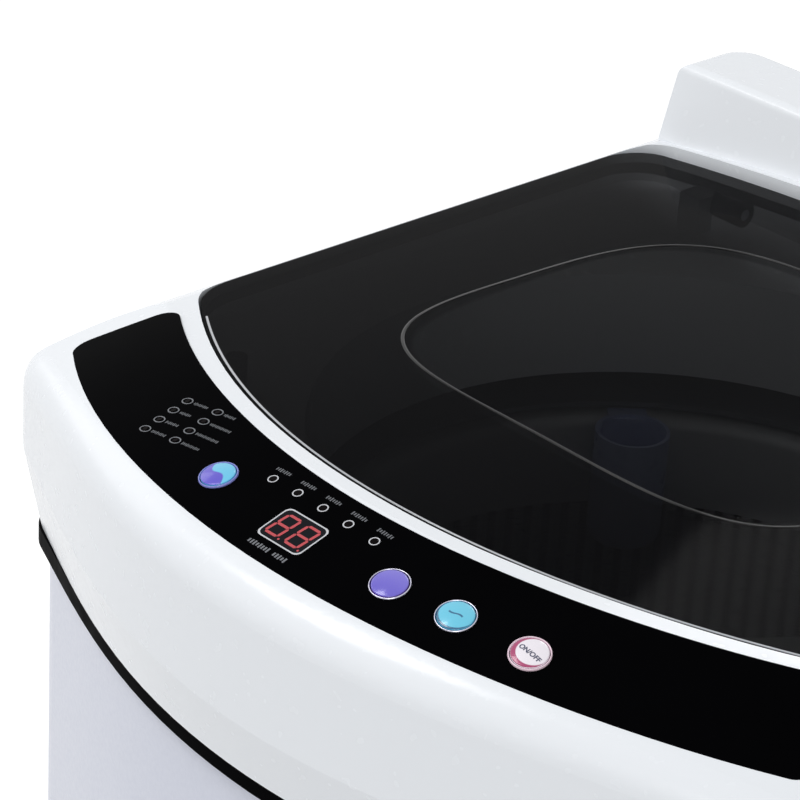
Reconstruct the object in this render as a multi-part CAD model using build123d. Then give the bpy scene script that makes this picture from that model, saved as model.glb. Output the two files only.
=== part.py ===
"""Top load washing machine: a bowed front, a smoked one-piece lid and a suspended tub with its drive.

Frame: millimetres, +Z up, X to the machine's right, -Y to the front. The origin is on the floor
under the middle of the machine.
"""
import os
from math import atan2, cos, degrees, hypot, pi, sin, sqrt

from build123d import *

# ---- Overall sizes ------------------------------------------------------------------------------
WIDTH = 516.0
DEPTH = 536.0
PANEL_Z = 872.0            # middle of the control panel above the floor

HALF_WIDTH = WIDTH / 2
FRONT_Y = -DEPTH / 2
BACK_Y = DEPTH / 2
TUB_Y = -2.0               # axis of the tub, basket and drive
FREE_GAP = 0.3             # between pieces that pass each other loosely
RUNNING_FIT = 0.05         # radial, at shafts and pins
EPS = 0.5                  # how far a cutting tool runs past the face that it cuts
TOOL = 120.0               # length of a cutting tool that ends in open space

# ---- Top cover ----------------------------------------------------------------------------------
COVER_WALL = 3.0
COVER_RISE = 16.0          # how far the bowed front falls back at 100 mm from the middle
COVER_FLARE = -0.57        # fourth-power part of the same bow
COVER_CORNER = 42.0
COVER_BACK_CORNER = 30.0
SHOULDER_RADIUS = 18.0
BARREL_RADIUS = 71.2       # the deck falls away to the sides round this, beside the lid
BARREL_OVERHANG = 0.6      # how far that round would stand past the side
APRON_CREST_DROP = 75.0    # the apron is widest this far under the panel
APRON_FOOT_DROP = 128.0
APRON_TUCK = 12.0          # the apron's foot stands back by this
APRON_SIDE_TUCK = 5.0
SPLIT_DROP = 102.8         # seam between top cover and strip, at the middle
SPLIT_CROWN_RADIUS = 1818.0

# Panel surface: it slopes to the front and falls to both sides
PANEL_DATUM_SETBACK = 46.0
PANEL_DATUM_Y = FRONT_Y + PANEL_DATUM_SETBACK
PANEL_SLOPE = 0.269
PANEL_SLOPE_RADIUS = 1841.0
PANEL_SIDE_RADIUS = 742.0
DECK_RISE = 5.5            # crown of the deck above the panel datum
DECK_CROWN_RADIUS = 1645.0
PROFILE_DEPTH = 200.0      # how far the solid under the panel's surface reaches down
PROFILE_LEAD = 40.0        # and in front of the machine

# ---- Control panel ------------------------------------------------------------------------------
PANEL_THICKNESS = 2.5
PANEL_OUTER_SETBACK = 16.0
PANEL_OUTER_BOW = (14.0, 0.16)
PANEL_INNER_SETBACK = 65.1
PANEL_INNER_BOW = (16.5, 0.15)
PANEL_END_MARGIN = 6.2     # from the machine's side to the panel's end line at the datum
PANEL_END_SLANT = 0.572
PANEL_CORNER = 10.0
PANEL_SEAT_LIP = 5.0       # ledge of the top cover under the panel's edge
PANEL_LEAN = 3.0           # the tray and its window stand back, because the buttons lean
BUTTON_RING_RADIUS = 9.0
BUTTON_HOLE_RADIUS = 8.4
BUTTON_BORE_RADIUS = 8.0
BUTTON_CAP_RADIUS = 7.7
BUTTON_PROUD = 1.2
BUTTON_RING_PROUD = 0.8
BUTTON_RING_LIFT = 0.15    # under the ring's brim
BUTTON_EDGE = 0.6
BUTTON_FLANGE_RADIUS = 9.5
BUTTON_FLANGE = 1.5
BUTTON_STEM_RADIUS = 2.5
BUTTON_TRAVEL = 0.8
PROGRAM_BUTTON_XY = (-63.1, 43.2)       # places on the panel: x, and how far behind the front
PROCESS_BUTTON_XY = (46.6, 39.9)
WATER_BUTTON_XY = (78.8, 45.5)
POWER_BUTTON_XY = (113.2, 52.4)
LENS_RADIUS = 1.7
LENS_FIRST_X = -41.5
LENS_PITCH = 16.1
LENS_COUNT = 5
LENS_SETBACK = 54.4
SMALL_LENS_RADIUS = 1.2
PROGRAM_LENS_X = (-121.8, -101.5)
PROGRAM_LENS_SETBACK = 51.1
PROGRAM_LENS_PITCH = 7.8
PROGRAM_LENS_ROWS = 4
DISPLAY_X = -7.8
DISPLAY_SETBACK = 36.4
DISPLAY_WIDTH = 24.4
DISPLAY_HEIGHT = 17.9
DISPLAY_CORNER = 3.0
DISPLAY_PROUD = 0.2
BOARD_DROP = 22.0          # top of the control board under the panel's surface
BOARD_END_X = 134.0
BOARD_MARGIN = 1.0         # between the board's edge and the tray's wall
BOARD_THICKNESS = 1.6
SWITCH_SIDE = 6.0
SWITCH_HEIGHT = 3.5
SWITCH_PLUNGER = 1.2
TRAY_END_X = 142.0
TRAY_WALL = 2.5
TRAY_DROP = 42.0
TRAY_PILLAR = 8.0

# ---- Lid ----------------------------------------------------------------------------------------
LID_RISE = 4.0             # crown of the lid above the panel datum
LID_THICKNESS = 4.0
LID_SKIRT = 10.0
LID_SKIRT_WALL = 3.0
LID_SETBACK = 74.9
LID_BOW = (17.2, 0.2)
LID_SIDE_MARGIN = 40.6
LID_BACK_MARGIN = 76.0     # from the lid's back edge to the back of the machine
LID_CORNER = 40.0
LID_BACK_CORNER = 22.0
LID_GAP = 1.5
WELL_DROP = 29.0           # floor of the lid's well under the panel datum
HINGE_INSET = 11.0         # hinge axis in front of the lid's back edge
HINGE_DROP = 14.0
HINGE_BOSS_RADIUS = 7.0
HINGE_BOSS_X = 128.0
HINGE_BOSS_LENGTH = 18.0
HINGE_PIN_RADIUS = 3.0
HINGE_BLOCK = 14.0
HINGE_BLOCK_RADIUS = 5.0
HINGE_FOOT_SETBACK = 3.2   # the block's foot stays in front of the axis, clear of the lid's skirt
HINGE_FOOT_DEPTH = 11.0
HINGE_SIDE_GAP = 1.0
WELL_BACK_CLEARANCE = 1.5
BUMPER_RADIUS = 5.0
BUMPER_X = 150.0
BUMPER_SETBACK = 12.0
MOUTH_MARGIN = 8.0         # the round opening is wider than the balance ring by this
COLLAR_DROP = 84.0         # lower edge of the opening's collar under the panel datum

# ---- Rear console -------------------------------------------------------------------------------
CONSOLE_RISE = 33.0        # top of the console above the panel datum
CONSOLE_SIDE_MARGIN = 44.0
CONSOLE_WALL = 2.5
CONSOLE_LEAN = 12.0
CONSOLE_ROUND = 6.0
CONSOLE_END_RADIUS = 18.0
CONSOLE_PORT = 36.0
DECK_SLOT_MARGIN = 24.0    # from the console's end to the end of the slot under it
VALVE_SIDE = 28.0
VALVE_THREAD_RADIUS = 13.2
VALVE_THREAD_LENGTH = 12.0
VALVE_BORE_RADIUS = 8.0
VALVE_SPOUT_RADIUS = 8.0
SENSOR_X = -120.0
SENSOR_RADIUS = 19.0
SENSOR_DEPTH = 20.0
TAB_MARGIN = 39.0          # two tabs of the console behind the cover's back wall
TAB_WIDTH = 16.0
TAB_DROP = 26.0
TAB_THICKNESS = 3.0
DRAWER_WIDTH = 96.0
DRAWER_DEPTH = 76.0
DRAWER_HEIGHT = 34.0
DRAWER_WALL = 2.0
DRAWER_GAP = 0.6
INLET_BOX_WALL = 2.5
INLET_BOX_SETBACK = 18.0
LID_SWITCH_MARGIN = 22.4
LID_SWITCH_SETBACK = 24.0
LID_SWITCH_SIZE = (14.0, 30.0, 22.0)
LEVER_THICKNESS = 3.0
LEVER_HUB_RADIUS = 5.0

# ---- Cabinet, strip and base --------------------------------------------------------------------
STRIP_HEIGHT = 9.0
STRIP_SETBACK = 8.0
STRIP_SIDE_SETBACK = 5.0
STRIP_DEPTH = 12.0
CABINET_SETBACK = 12.0
CABINET_SIDE_SETBACK = 8.0
CABINET_BACK_SETBACK = 10.0
CABINET_CORNER = 56.0
CABINET_BACK_CORNER = 14.0
SHEET = 1.0
BACK_FLANGE = 28.0
BACK_COVER_MARGIN = 6.0
BACK_COVER_SHEET = 1.2
BACK_COVER_LAP = 10.0
BACK_COVER_CORNER = 8.0
BACK_SCREW_ROWS = 4
BACK_WINDOW_Z = (105.0, 690.0)
SCREW_RADIUS = 2.0
SCREW_HEAD_RADIUS = 4.5
SCREW_HEAD = 2.4
SCREW_LENGTH = 8.0
HANDLE_Z = 640.0
HANDLE_Y = 10.0
HANDLE_LENGTH = 100.0
HANDLE_HEIGHT = 36.0
HANDLE_DEPTH = 20.0
HANDLE_WALL = 2.0
HANDLE_RIM = 6.0
BASE_Z = 16.0
BASE_TOP_Z = 60.0
BASE_WALL = 20.0
BASE_LEDGE = 62.0
BASE_LEDGE_HEIGHT = 4.0
BASE_SPIGOT = 14.0
FOOT_SIDE_MARGIN = 54.0    # from the cabinet's faces to the feet
FOOT_FRONT_MARGIN = 110.0
FOOT_BACK_MARGIN = 48.0
FOOT_RADIUS = 22.0
FOOT_STEM_RADIUS = 5.0
FOOT_BOSS_RADIUS = 24.0
FOOT_BOSS_DROP = 10.0      # top of the bosses under the base's top
FOOT_STEM_LENGTH = 24.0
FOOT_ROUND = 2.0
ADJUSTER_TRAVEL = 5.0
ADJUSTER_PAD = 8.0
ADJUSTER_STEM_LENGTH = 46.0
LOCKNUT_HEIGHT = 3.0
LOCKNUT_ACROSS = 17.0
GUARD_THICKNESS = 2.5
GUARD_SLOT_COUNT = 9
GLAND_SIDE_MARGIN = 70.0
GLAND_Z = 640.0
GLAND_RADIUS = 9.0
GROMMET_Z = 196.0
GROMMET_RADIUS = 20.0
DRAIN_RADIUS = 11.0
CAPACITOR_RADIUS = 12.0
CAPACITOR_Y = 60.0
CAPACITOR_LENGTH = 72.0

# ---- Suspension ---------------------------------------------------------------------------------
ROD_SIDE_MARGIN = 50.0     # from the cabinet's faces to the rods
ROD_FRONT_MARGIN = 91.0
ROD_BACK_MARGIN = 82.0
ROD_RADIUS = 2.5
ROD_HEAD_RADIUS = 11.0
ROD_HEAD = 7.0
ROD_CAP_RADIUS = 12.0
ROD_CAP = 6.0
ROD_FOOT_Z = 232.0
BRACKET_DROP = 136.0       # corner brackets under the panel datum
BRACKET_THICKNESS = 3.0
BRACKET_REACH = 45.0       # from a rod to the bracket's free edges
BRACKET_TUB_GAP = 18.0
SPRING_RADIUS = 9.0
SPRING_WIRE = 1.3
SPRING_LENGTH = 56.0
SPRING_TURNS = 8.0
CUP_RADIUS = 15.0
CUP_DEPTH = 24.0
CUP_ROOF = 4.0
LUG_WIDTH = 34.0
LUG_HEIGHT = 24.0
TUB_TRAVEL_UP = 5.0
TUB_TRAVEL_DOWN = 18.0

# ---- Tub and basket -----------------------------------------------------------------------------
TUB_SIDE_GAP = 34.0        # between the tub's wall and the cabinet's side
TUB_WALL = 3.0
TUB_FLOOR_Z = 232.0
TUB_TOP_DROP = 110.0       # rim of the tub under the panel datum
TUB_FLANGE = 5.0
TUB_HUB_RADIUS = 40.0
TUB_COVER_PLATE = 3.0
TUB_COVER_LIFT = 6.0
BASKET_GAP = 20.0          # between the basket and the tub
BASKET_WALL = 1.5
BASKET_FLOOR_GAP = 16.0
BASKET_FLOOR = 4.0
BASKET_HOLE_MARGIN = 60.0
BASKET_HOLE_RADIUS = 3.0
BASKET_HOLE_ROWS = 6
BASKET_HOLE_COLUMNS = 20
RING_HEIGHT = 48.0
RING_WIDTH = 32.0
RING_DROP = 107.0          # top of the balance ring under the panel datum
HUB_FLANGE_RADIUS = 110.0
HUB_FLANGE = 6.0
SPIN_SHAFT_RADIUS = 16.0
WASH_SHAFT_RADIUS = 9.0
PULSATOR_MARGIN = 14.0     # the pulsator is smaller than the balance ring's mouth by this
PULSATOR_GAP = 4.0
PULSATOR_PLATE = 5.0
PULSATOR_VANES = 6
VANE_HEIGHT = 16.0
FILTER_ANGLE = 20.0
FILTER_WIDTH = 64.0
FILTER_HEIGHT = 150.0
FILTER_DEPTH = 16.0
FILTER_LIFT = 20.0
SOFTENER_ANGLE = 140.0
SOFTENER_RADIUS = 19.0
SOFTENER_HEIGHT = 62.0

# ---- Drive --------------------------------------------------------------------------------------
MOUNT_THICKNESS = 3.0
GEARBOX_RADIUS = 58.0
GEARBOX_DEPTH = 106.0
GEARBOX_NECK = 34.0        # length of the spin shaft inside the gearbox
PULLEY_Z = 92.0
PULLEY_WIDTH = 18.0
PULLEY_RADIUS = 72.0
MOTOR_PULLEY_RADIUS = 24.0
GROOVE_DEPTH = 8.0
GROOVE_WIDTH = 10.0
BELT_HEIGHT = 6.0
BELT_WIDTH = 9.0
MOTOR_DISTANCE = 150.0
MOTOR_ANGLE = 155.0
MOTOR_RADIUS = 60.0
MOTOR_FLOOR_Z = 122.0
MOTOR_SHAFT_RADIUS = 6.0
FAN_RADIUS = 48.0
DRAIN_XY = (110.0, 98.0)
DRAIN_VALVE_RADIUS = 24.0
DRAIN_VALVE_HEIGHT = 52.0
PLUNGER_RADIUS = 6.0
PLUNGER_LENGTH = 34.0
PLUNGER_TRAVEL = 10.0
DRAIN_MOTOR_SIZE = (40.0, 50.0, 38.0)

# ---- Heights and places that follow ---------------------------------------------------------------
SPLIT_Z = PANEL_Z - SPLIT_DROP
CREST_Z = PANEL_Z - APRON_CREST_DROP
APRON_FOOT_Z = PANEL_Z - APRON_FOOT_DROP
DECK_Z = PANEL_Z + DECK_RISE
LID_Z = PANEL_Z + LID_RISE
WELL_Z = PANEL_Z - WELL_DROP
COLLAR_Z = PANEL_Z - COLLAR_DROP
LID_BACK_Y = BACK_Y - LID_BACK_MARGIN
HINGE_Y = LID_BACK_Y - HINGE_INSET
HINGE_Z = PANEL_Z - HINGE_DROP
LID_SWEEP = hypot(HINGE_INSET, LID_Z - HINGE_Z)
WELL_BACK_Y = HINGE_Y + LID_SWEEP + WELL_BACK_CLEARANCE
CONSOLE_FRONT_Y = WELL_BACK_Y + COVER_WALL + FREE_GAP
CONSOLE_TOP_Z = PANEL_Z + CONSOLE_RISE
CONSOLE_HALF_LENGTH = HALF_WIDTH - CONSOLE_SIDE_MARGIN
DECK_SLOT_HALF_LENGTH = CONSOLE_HALF_LENGTH - DECK_SLOT_MARGIN
TAB_X = CONSOLE_HALF_LENGTH - TAB_MARGIN
LID_HALF_WIDTH = HALF_WIDTH - LID_SIDE_MARGIN
LID_SWITCH_X = LID_HALF_WIDTH - LID_SWITCH_MARGIN
PANEL_END_X = HALF_WIDTH - PANEL_END_MARGIN
CABINET_HALF_WIDTH = HALF_WIDTH - CABINET_SIDE_SETBACK
CABINET_FRONT_Y = FRONT_Y + CABINET_SETBACK
CABINET_BACK_Y = BACK_Y - CABINET_BACK_SETBACK
FOOT_X = CABINET_HALF_WIDTH - FOOT_SIDE_MARGIN
FOOT_FRONT_Y = CABINET_FRONT_Y + FOOT_FRONT_MARGIN
FOOT_BACK_Y = CABINET_BACK_Y - FOOT_BACK_MARGIN
GLAND_X = CABINET_HALF_WIDTH - GLAND_SIDE_MARGIN
GROMMET_X = DRAIN_XY[0]
ROD_X = CABINET_HALF_WIDTH - ROD_SIDE_MARGIN
ROD_FRONT_Y = CABINET_FRONT_Y + ROD_FRONT_MARGIN
ROD_BACK_Y = CABINET_BACK_Y - ROD_BACK_MARGIN
TUB_RADIUS = CABINET_HALF_WIDTH - TUB_SIDE_GAP
BASKET_RADIUS = TUB_RADIUS - BASKET_GAP
RING_INNER_RADIUS = BASKET_RADIUS - RING_WIDTH
OPENING_RADIUS = RING_INNER_RADIUS + MOUTH_MARGIN
PULSATOR_RADIUS = RING_INNER_RADIUS - PULSATOR_MARGIN
TUB_TOP_Z = PANEL_Z - TUB_TOP_DROP
BASKET_FLOOR_Z = TUB_FLOOR_Z + TUB_WALL + BASKET_FLOOR_GAP
RING_TOP_Z = PANEL_Z - RING_DROP
RING_Z = RING_TOP_Z - RING_HEIGHT
PULSATOR_Z = BASKET_FLOOR_Z + BASKET_FLOOR + PULSATOR_GAP
GEARBOX_Z = TUB_FLOOR_Z - GEARBOX_DEPTH
SPIN_SHAFT_Z = TUB_FLOOR_Z - GEARBOX_NECK
MOTOR_TOP_Z = TUB_FLOOR_Z - MOUNT_THICKNESS
MOTOR_X = MOTOR_DISTANCE * cos(MOTOR_ANGLE * pi / 180)
MOTOR_Y = TUB_Y + MOTOR_DISTANCE * sin(MOTOR_ANGLE * pi / 180)
BRACKET_Z = PANEL_Z - BRACKET_DROP
ROD_HEAD_Z = BRACKET_Z + BRACKET_THICKNESS
SPRING_Z = ROD_FOOT_Z + ROD_CAP
LUG_Z = SPRING_Z + SPRING_LENGTH + CUP_ROOF
SWITCH_BOARD_GAP = BUTTON_TRAVEL + 0.1
FAR = 2 * (WIDTH + DEPTH)  # larger than the machine, for tools that cut right through


# ---- Shared shapes ------------------------------------------------------------------------------
def bow_y(front, bow, x):
    """Y of a bowed front edge at x."""
    u = x / 100
    return front + bow[0] * u**2 + bow[1] * u**4


def bow_slope(bow, x):
    """Slope dy/dx of a bowed front edge at x."""
    u = x / 100
    return (2 * bow[0] * u + 4 * bow[1] * u**3) / 100


def corner_start(bow, half_width, radius):
    """X where the left front corner's arc leaves the bowed edge."""
    low, high = -half_width, 0.0
    for _ in range(50):
        x = (low + high) / 2
        slope = bow_slope(bow, x)
        if x - radius * slope / hypot(1, slope) < radius - half_width:
            low = x
        else:
            high = x
    return (low + high) / 2


def bowed_face(front, bow, half_width, back, corner, back_corner, z=0.0):
    """Closed plan outline: a bowed front, straight sides and back, and four round corners."""
    start = corner_start(bow, half_width, corner)
    slope = bow_slope(bow, start)
    run = hypot(1, slope)
    edge_y = bow_y(front, bow, start)
    centre = (corner - half_width, edge_y + corner / run)
    toward = (start - centre[0] - corner, edge_y - centre[1])
    reach = corner / hypot(*toward)
    middle = (centre[0] + toward[0] * reach, centre[1] + toward[1] * reach)
    xs = [start * share for share in (1, 0.66, 0.33, 0, -0.33, -0.66, -1)]
    points = [(x, bow_y(front, bow, x)) for x in xs]
    ease = back_corner * (1 - 1 / sqrt(2))
    front_edge = Spline(*points, tangents=[(1, slope), (1, -slope)])
    edges = [front_edge]
    for side in (-1, 1):
        edges.append(ThreePointArc((side * -start, edge_y), (side * -middle[0], middle[1]),
                                   (side * half_width, centre[1])))
        edges.append(Line((side * half_width, centre[1]), (side * half_width, back - back_corner)))
        edges.append(ThreePointArc((side * half_width, back - back_corner),
                                   (side * (half_width - ease), back - ease),
                                   (side * (half_width - back_corner), back)))
    edges.append(Line((half_width - back_corner, back), (back_corner - half_width, back)))
    return Pos(0, 0, z) * make_face(edges)


def upright(face, height):
    """The face extruded straight up."""
    return extrude(face, height, dir=(0, 0, 1))


def crown(z, radius):
    """Everything under a side-to-side crowned surface whose top line is at z."""
    return Pos(0, 0, z - radius) * Rot(90, 0, 0) * Cylinder(radius, FAR)


def barrel(inset):
    """Everything between two large rounds along the machine's sides, moved in by inset."""
    radius = BARREL_RADIUS - inset
    centre_x = HALF_WIDTH + BARREL_OVERHANG - BARREL_RADIUS
    ease = radius / sqrt(2)
    head_z = CREST_Z + radius
    left, right = [ThreePointArc((side * (centre_x + radius), 0, CREST_Z),
                                 (side * (centre_x + ease), 0, CREST_Z + ease),
                                 (side * centre_x, 0, head_z)) for side in (-1, 1)]
    roof = Polyline((-centre_x, 0, head_z), (-centre_x, 0, DECK_Z + TOOL), (centre_x, 0, DECK_Z + TOOL),
                    (centre_x, 0, head_z))
    outline = [left, roof, right, Line(right @ 0, left @ 0)]
    return extrude(make_face(outline), DEPTH, dir=(0, 1, 0), both=True)


def panel_height(y, drop=0.0):
    """Height of the panel's surface on the middle line."""
    run = y - PANEL_DATUM_Y
    return PANEL_Z - drop + PANEL_SLOPE * run - run**2 / (2 * PANEL_SLOPE_RADIUS)


def under_panel(drop=0.0):
    """Everything under the panel's surface, which slopes to the front and falls to both sides."""
    ys = (FRONT_Y - PROFILE_LEAD, PANEL_DATUM_Y, BACK_Y)
    points = [(0, y, panel_height(y, drop)) for y in ys]
    floor_z = PANEL_Z - PROFILE_DEPTH
    surface = Spline(*points)
    sides = Polyline(points[-1], (0, ys[-1], floor_z), (0, ys[0], floor_z), points[0])
    profile = make_face([surface, sides])
    axis = Axis((0, 0, PANEL_Z - PANEL_SIDE_RADIUS), (0, 1, 0))
    sweep = 60
    return revolve(profile, axis, sweep).rotate(axis, -sweep / 2)


def panel_plane(x, setback):
    """Plane on the panel's surface at x, this far behind the front; its Z points out of the panel."""
    y = FRONT_Y + setback
    radius = PANEL_SIDE_RADIUS + panel_height(y) - PANEL_Z
    rise = sqrt(radius**2 - x**2)
    slope_y = (PANEL_SLOPE - (y - PANEL_DATUM_Y) / PANEL_SLOPE_RADIUS) * radius / rise
    z = PANEL_Z - PANEL_SIDE_RADIUS + rise
    return Plane(origin=(x, y, z), x_dir=(1, 0, -x / rise), z_dir=(x / rise, -slope_y, 1))


def rod(x, y, z, radius, height):
    """An upright cylinder that stands on z."""
    return Pos(x, y, z + height / 2) * Cylinder(radius, height)


def block(x, y, z, size_x, size_y, size_z):
    """An upright box centred on x and y that stands on z."""
    return Pos(x, y, z + size_z / 2) * Box(size_x, size_y, size_z)


def ring(x, y, z, outer, inner, height):
    """An upright tube that stands on z."""
    return rod(x, y, z, outer, height) - rod(x, y, z - EPS, inner, height + 2 * EPS)


def level(plane, low, high, radius):
    """A cylinder on a panel plane's axis, from low to high above the surface."""
    return plane * Pos(0, 0, (low + high) / 2) * Cylinder(radius, high - low)


def rounded_plate(plane, low, high, size_x, size_y, corner):
    """A plate with round corners on a panel plane, from low to high above the surface."""
    face = plane * Pos(0, 0, low) * RectangleRounded(size_x, size_y, corner)
    return extrude(face, high - low, dir=plane.z_dir)


def cover_face(inset, z):
    """The top cover's outline, moved in by inset."""
    return bowed_face(FRONT_Y + inset, (COVER_RISE, COVER_FLARE), HALF_WIDTH - inset, BACK_Y - inset,
                      COVER_CORNER - inset, COVER_BACK_CORNER - inset, z)


def cabinet_face(inset, z):
    """The cabinet's outline, moved in by inset."""
    return bowed_face(CABINET_FRONT_Y + inset, (COVER_RISE, COVER_FLARE), CABINET_HALF_WIDTH - inset,
                      CABINET_BACK_Y - inset, CABINET_CORNER - min(inset, CABINET_CORNER / 2),
                      max(CABINET_BACK_CORNER - inset, 4.0), z)


def strip_face(inset, z):
    """The trim strip's outline, moved in by inset."""
    return bowed_face(FRONT_Y + STRIP_SETBACK + inset, (COVER_RISE, COVER_FLARE),
                      HALF_WIDTH - STRIP_SIDE_SETBACK - inset, BACK_Y - STRIP_SIDE_SETBACK - inset,
                      COVER_CORNER - inset, COVER_BACK_CORNER - inset, z)


def lid_face(grow, z, back=LID_BACK_Y):
    """The lid's outline, moved out by grow."""
    return bowed_face(FRONT_Y + LID_SETBACK - grow, LID_BOW, LID_HALF_WIDTH + grow, back,
                      LID_CORNER + grow, LID_BACK_CORNER, z)


def panel_face(grow, end_x, slant):
    """The control panel's plan outline, moved out by grow: two bowed edges and two slanted ends."""
    half = end_x + grow
    outer_y = FRONT_Y + PANEL_OUTER_SETBACK - grow
    inner_y = FRONT_Y + PANEL_INNER_SETBACK + grow

    def meet(front, bow):
        """X where the right end's line crosses a bowed edge."""
        x = half
        for _ in range(60):
            x = 0.5 * x + 0.5 * (half - slant * (bow_y(front, bow, x) - PANEL_DATUM_Y))
        return x

    ends = (meet(outer_y, PANEL_OUTER_BOW), meet(inner_y, PANEL_INNER_BOW))
    shares = (-1, -0.5, 0, 0.5, 1)
    outer = [(ends[0] * share, bow_y(outer_y, PANEL_OUTER_BOW, ends[0] * share)) for share in shares]
    inner = [(ends[1] * share, bow_y(inner_y, PANEL_INNER_BOW, ends[1] * share)) for share in shares]
    return make_face([Spline(*outer), Line(outer[-1], inner[-1]), Spline(*inner), Line(inner[0], outer[0])])


def panel_prism(grow, corner, low, high, end_x=PANEL_END_X, slant=PANEL_END_SLANT):
    """The control panel's outline as an upright prism from low to high, with round corners."""
    plate = upright(panel_face(grow, end_x, slant), 1.0)
    if corner > 0:
        plate = fillet(plate.edges().filter_by(Axis.Z), corner)
    outline = plate.faces().sort_by(Axis.Z)[0]
    return Pos(0, 0, low) * upright(Face(outline.outer_wire()), high - low)


# ---- Places of the repeated pieces --------------------------------------------------------------
BUTTON_PLANES = {
    "program_button": panel_plane(*PROGRAM_BUTTON_XY),
    "process_button": panel_plane(*PROCESS_BUTTON_XY),
    "water_level_button": panel_plane(*WATER_BUTTON_XY),
    "power_button": panel_plane(*POWER_BUTTON_XY),
}
LENS_PLANES = [panel_plane(LENS_FIRST_X + LENS_PITCH * i, LENS_SETBACK - i / LENS_COUNT * 2)
               for i in range(LENS_COUNT)]
PROGRAM_LENS_PLANES = [panel_plane(x, PROGRAM_LENS_SETBACK + PROGRAM_LENS_PITCH * row)
                       for x in PROGRAM_LENS_X for row in range(PROGRAM_LENS_ROWS)]
DISPLAY_PLANE = panel_plane(DISPLAY_X, DISPLAY_SETBACK)
BOARD_PLANE = panel_plane(0.0, PANEL_DATUM_Y - FRONT_Y)
ROD_PLACES = [(x, y) for x in (-ROD_X, ROD_X) for y in (ROD_FRONT_Y, ROD_BACK_Y)]
FOOT_PLACES = [(-FOOT_X, FOOT_FRONT_Y), (-FOOT_X, FOOT_BACK_Y), (FOOT_X, FOOT_BACK_Y)]
ADJUSTER_PLACE = (FOOT_X, FOOT_FRONT_Y)


def board_depth(plane):
    """Distance from a panel plane down its axis to the top of the control board."""
    top = BOARD_PLANE.origin - BOARD_PLANE.z_dir * BOARD_DROP
    return (plane.origin - top).dot(BOARD_PLANE.z_dir) / plane.z_dir.dot(BOARD_PLANE.z_dir)


# ---- Cabinet and base ---------------------------------------------------------------------------
def make_cabinet():
    """Painted sheet wrap: front, sides and two back flanges, cut to the strip's crown."""
    height = SPLIT_Z - BASE_TOP_Z
    wrap = upright(cabinet_face(0, BASE_TOP_Z), height) - upright(cabinet_face(SHEET, BASE_TOP_Z - EPS), FAR)
    wrap = wrap & crown(SPLIT_Z - STRIP_HEIGHT, SPLIT_CROWN_RADIUS)
    window = block(0, CABINET_BACK_Y, BACK_WINDOW_Z[0], 2 * (CABINET_HALF_WIDTH - BACK_FLANGE), 12,
                   BACK_WINDOW_Z[1] - BACK_WINDOW_Z[0])
    hole = block(0, HANDLE_Y, HANDLE_Z - HANDLE_HEIGHT / 2, FAR, HANDLE_LENGTH, HANDLE_HEIGHT)
    return wrap - window - hole


def make_handle(side):
    """Finger cup clipped into the cabinet's side."""
    x = side * CABINET_HALF_WIDTH
    inner_x = x - side * HANDLE_DEPTH / 2
    cup = Pos(inner_x, HANDLE_Y, HANDLE_Z) * Box(HANDLE_DEPTH, HANDLE_LENGTH - FREE_GAP,
                                                HANDLE_HEIGHT - FREE_GAP)
    rim = Pos(x + side * HANDLE_WALL / 2, HANDLE_Y, HANDLE_Z) * Box(
        HANDLE_WALL, HANDLE_LENGTH + 2 * HANDLE_RIM, HANDLE_HEIGHT + 2 * HANDLE_RIM)
    pocket = Pos(inner_x + side * HANDLE_WALL, HANDLE_Y, HANDLE_Z) * Box(
        HANDLE_DEPTH + HANDLE_WALL, HANDLE_LENGTH - 2 * HANDLE_WALL, HANDLE_HEIGHT - 2 * HANDLE_WALL)
    return cup + rim - pocket


def make_trim_strip():
    """Thin band between the top cover and the cabinet, crowned like the cover's lower edge."""
    low_z = SPLIT_Z - 60
    band = upright(strip_face(0, low_z), 80) - upright(strip_face(STRIP_DEPTH, low_z - EPS), 90)
    band = band & crown(SPLIT_Z, SPLIT_CROWN_RADIUS)
    return band - crown(SPLIT_Z - STRIP_HEIGHT, SPLIT_CROWN_RADIUS)


def make_base():
    """Plastic base frame: a ring under the cabinet, a spigot inside it, a ledge and foot bosses."""
    height = BASE_TOP_Z - BASE_Z
    frame = upright(cabinet_face(0, BASE_Z), height)
    frame += upright(cabinet_face(SHEET + FREE_GAP, BASE_TOP_Z), BASE_SPIGOT)
    frame -= upright(cabinet_face(BASE_WALL, BASE_Z + BASE_LEDGE_HEIGHT), FAR)
    frame -= upright(cabinet_face(BASE_LEDGE, BASE_Z - EPS), FAR)
    for x, y in FOOT_PLACES + [ADJUSTER_PLACE]:
        frame += rod(x, y, BASE_Z, FOOT_BOSS_RADIUS, height - FOOT_BOSS_DROP)
        frame -= rod(x, y, BASE_Z - EPS, FOOT_STEM_RADIUS + FREE_GAP, height - FOOT_BOSS_DROP + 2 * EPS)
    x, y = ADJUSTER_PLACE
    frame -= rod(x, y, BASE_Z - EPS, FOOT_BOSS_RADIUS - 4, LOCKNUT_HEIGHT + EPS)
    return frame


def make_fixed_feet():
    """Three rubber feet with stems in the base's bosses."""
    feet = []
    for x, y in FOOT_PLACES:
        foot = rod(x, y, 0, FOOT_RADIUS, BASE_Z)
        foot = fillet(foot.edges().sort_by(Axis.Z)[:1], FOOT_ROUND)
        feet.append(foot + rod(x, y, BASE_Z, FOOT_STEM_RADIUS, FOOT_STEM_LENGTH))
    return feet


def make_adjustable_foot():
    """Screw foot: pad and stem."""
    x, y = ADJUSTER_PLACE
    pad = rod(x, y, 0, FOOT_RADIUS - 2, ADJUSTER_PAD)
    pad = fillet(pad.edges().sort_by(Axis.Z)[:1], FOOT_ROUND)
    return pad + rod(x, y, ADJUSTER_PAD, FOOT_STEM_RADIUS, ADJUSTER_STEM_LENGTH)


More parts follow.
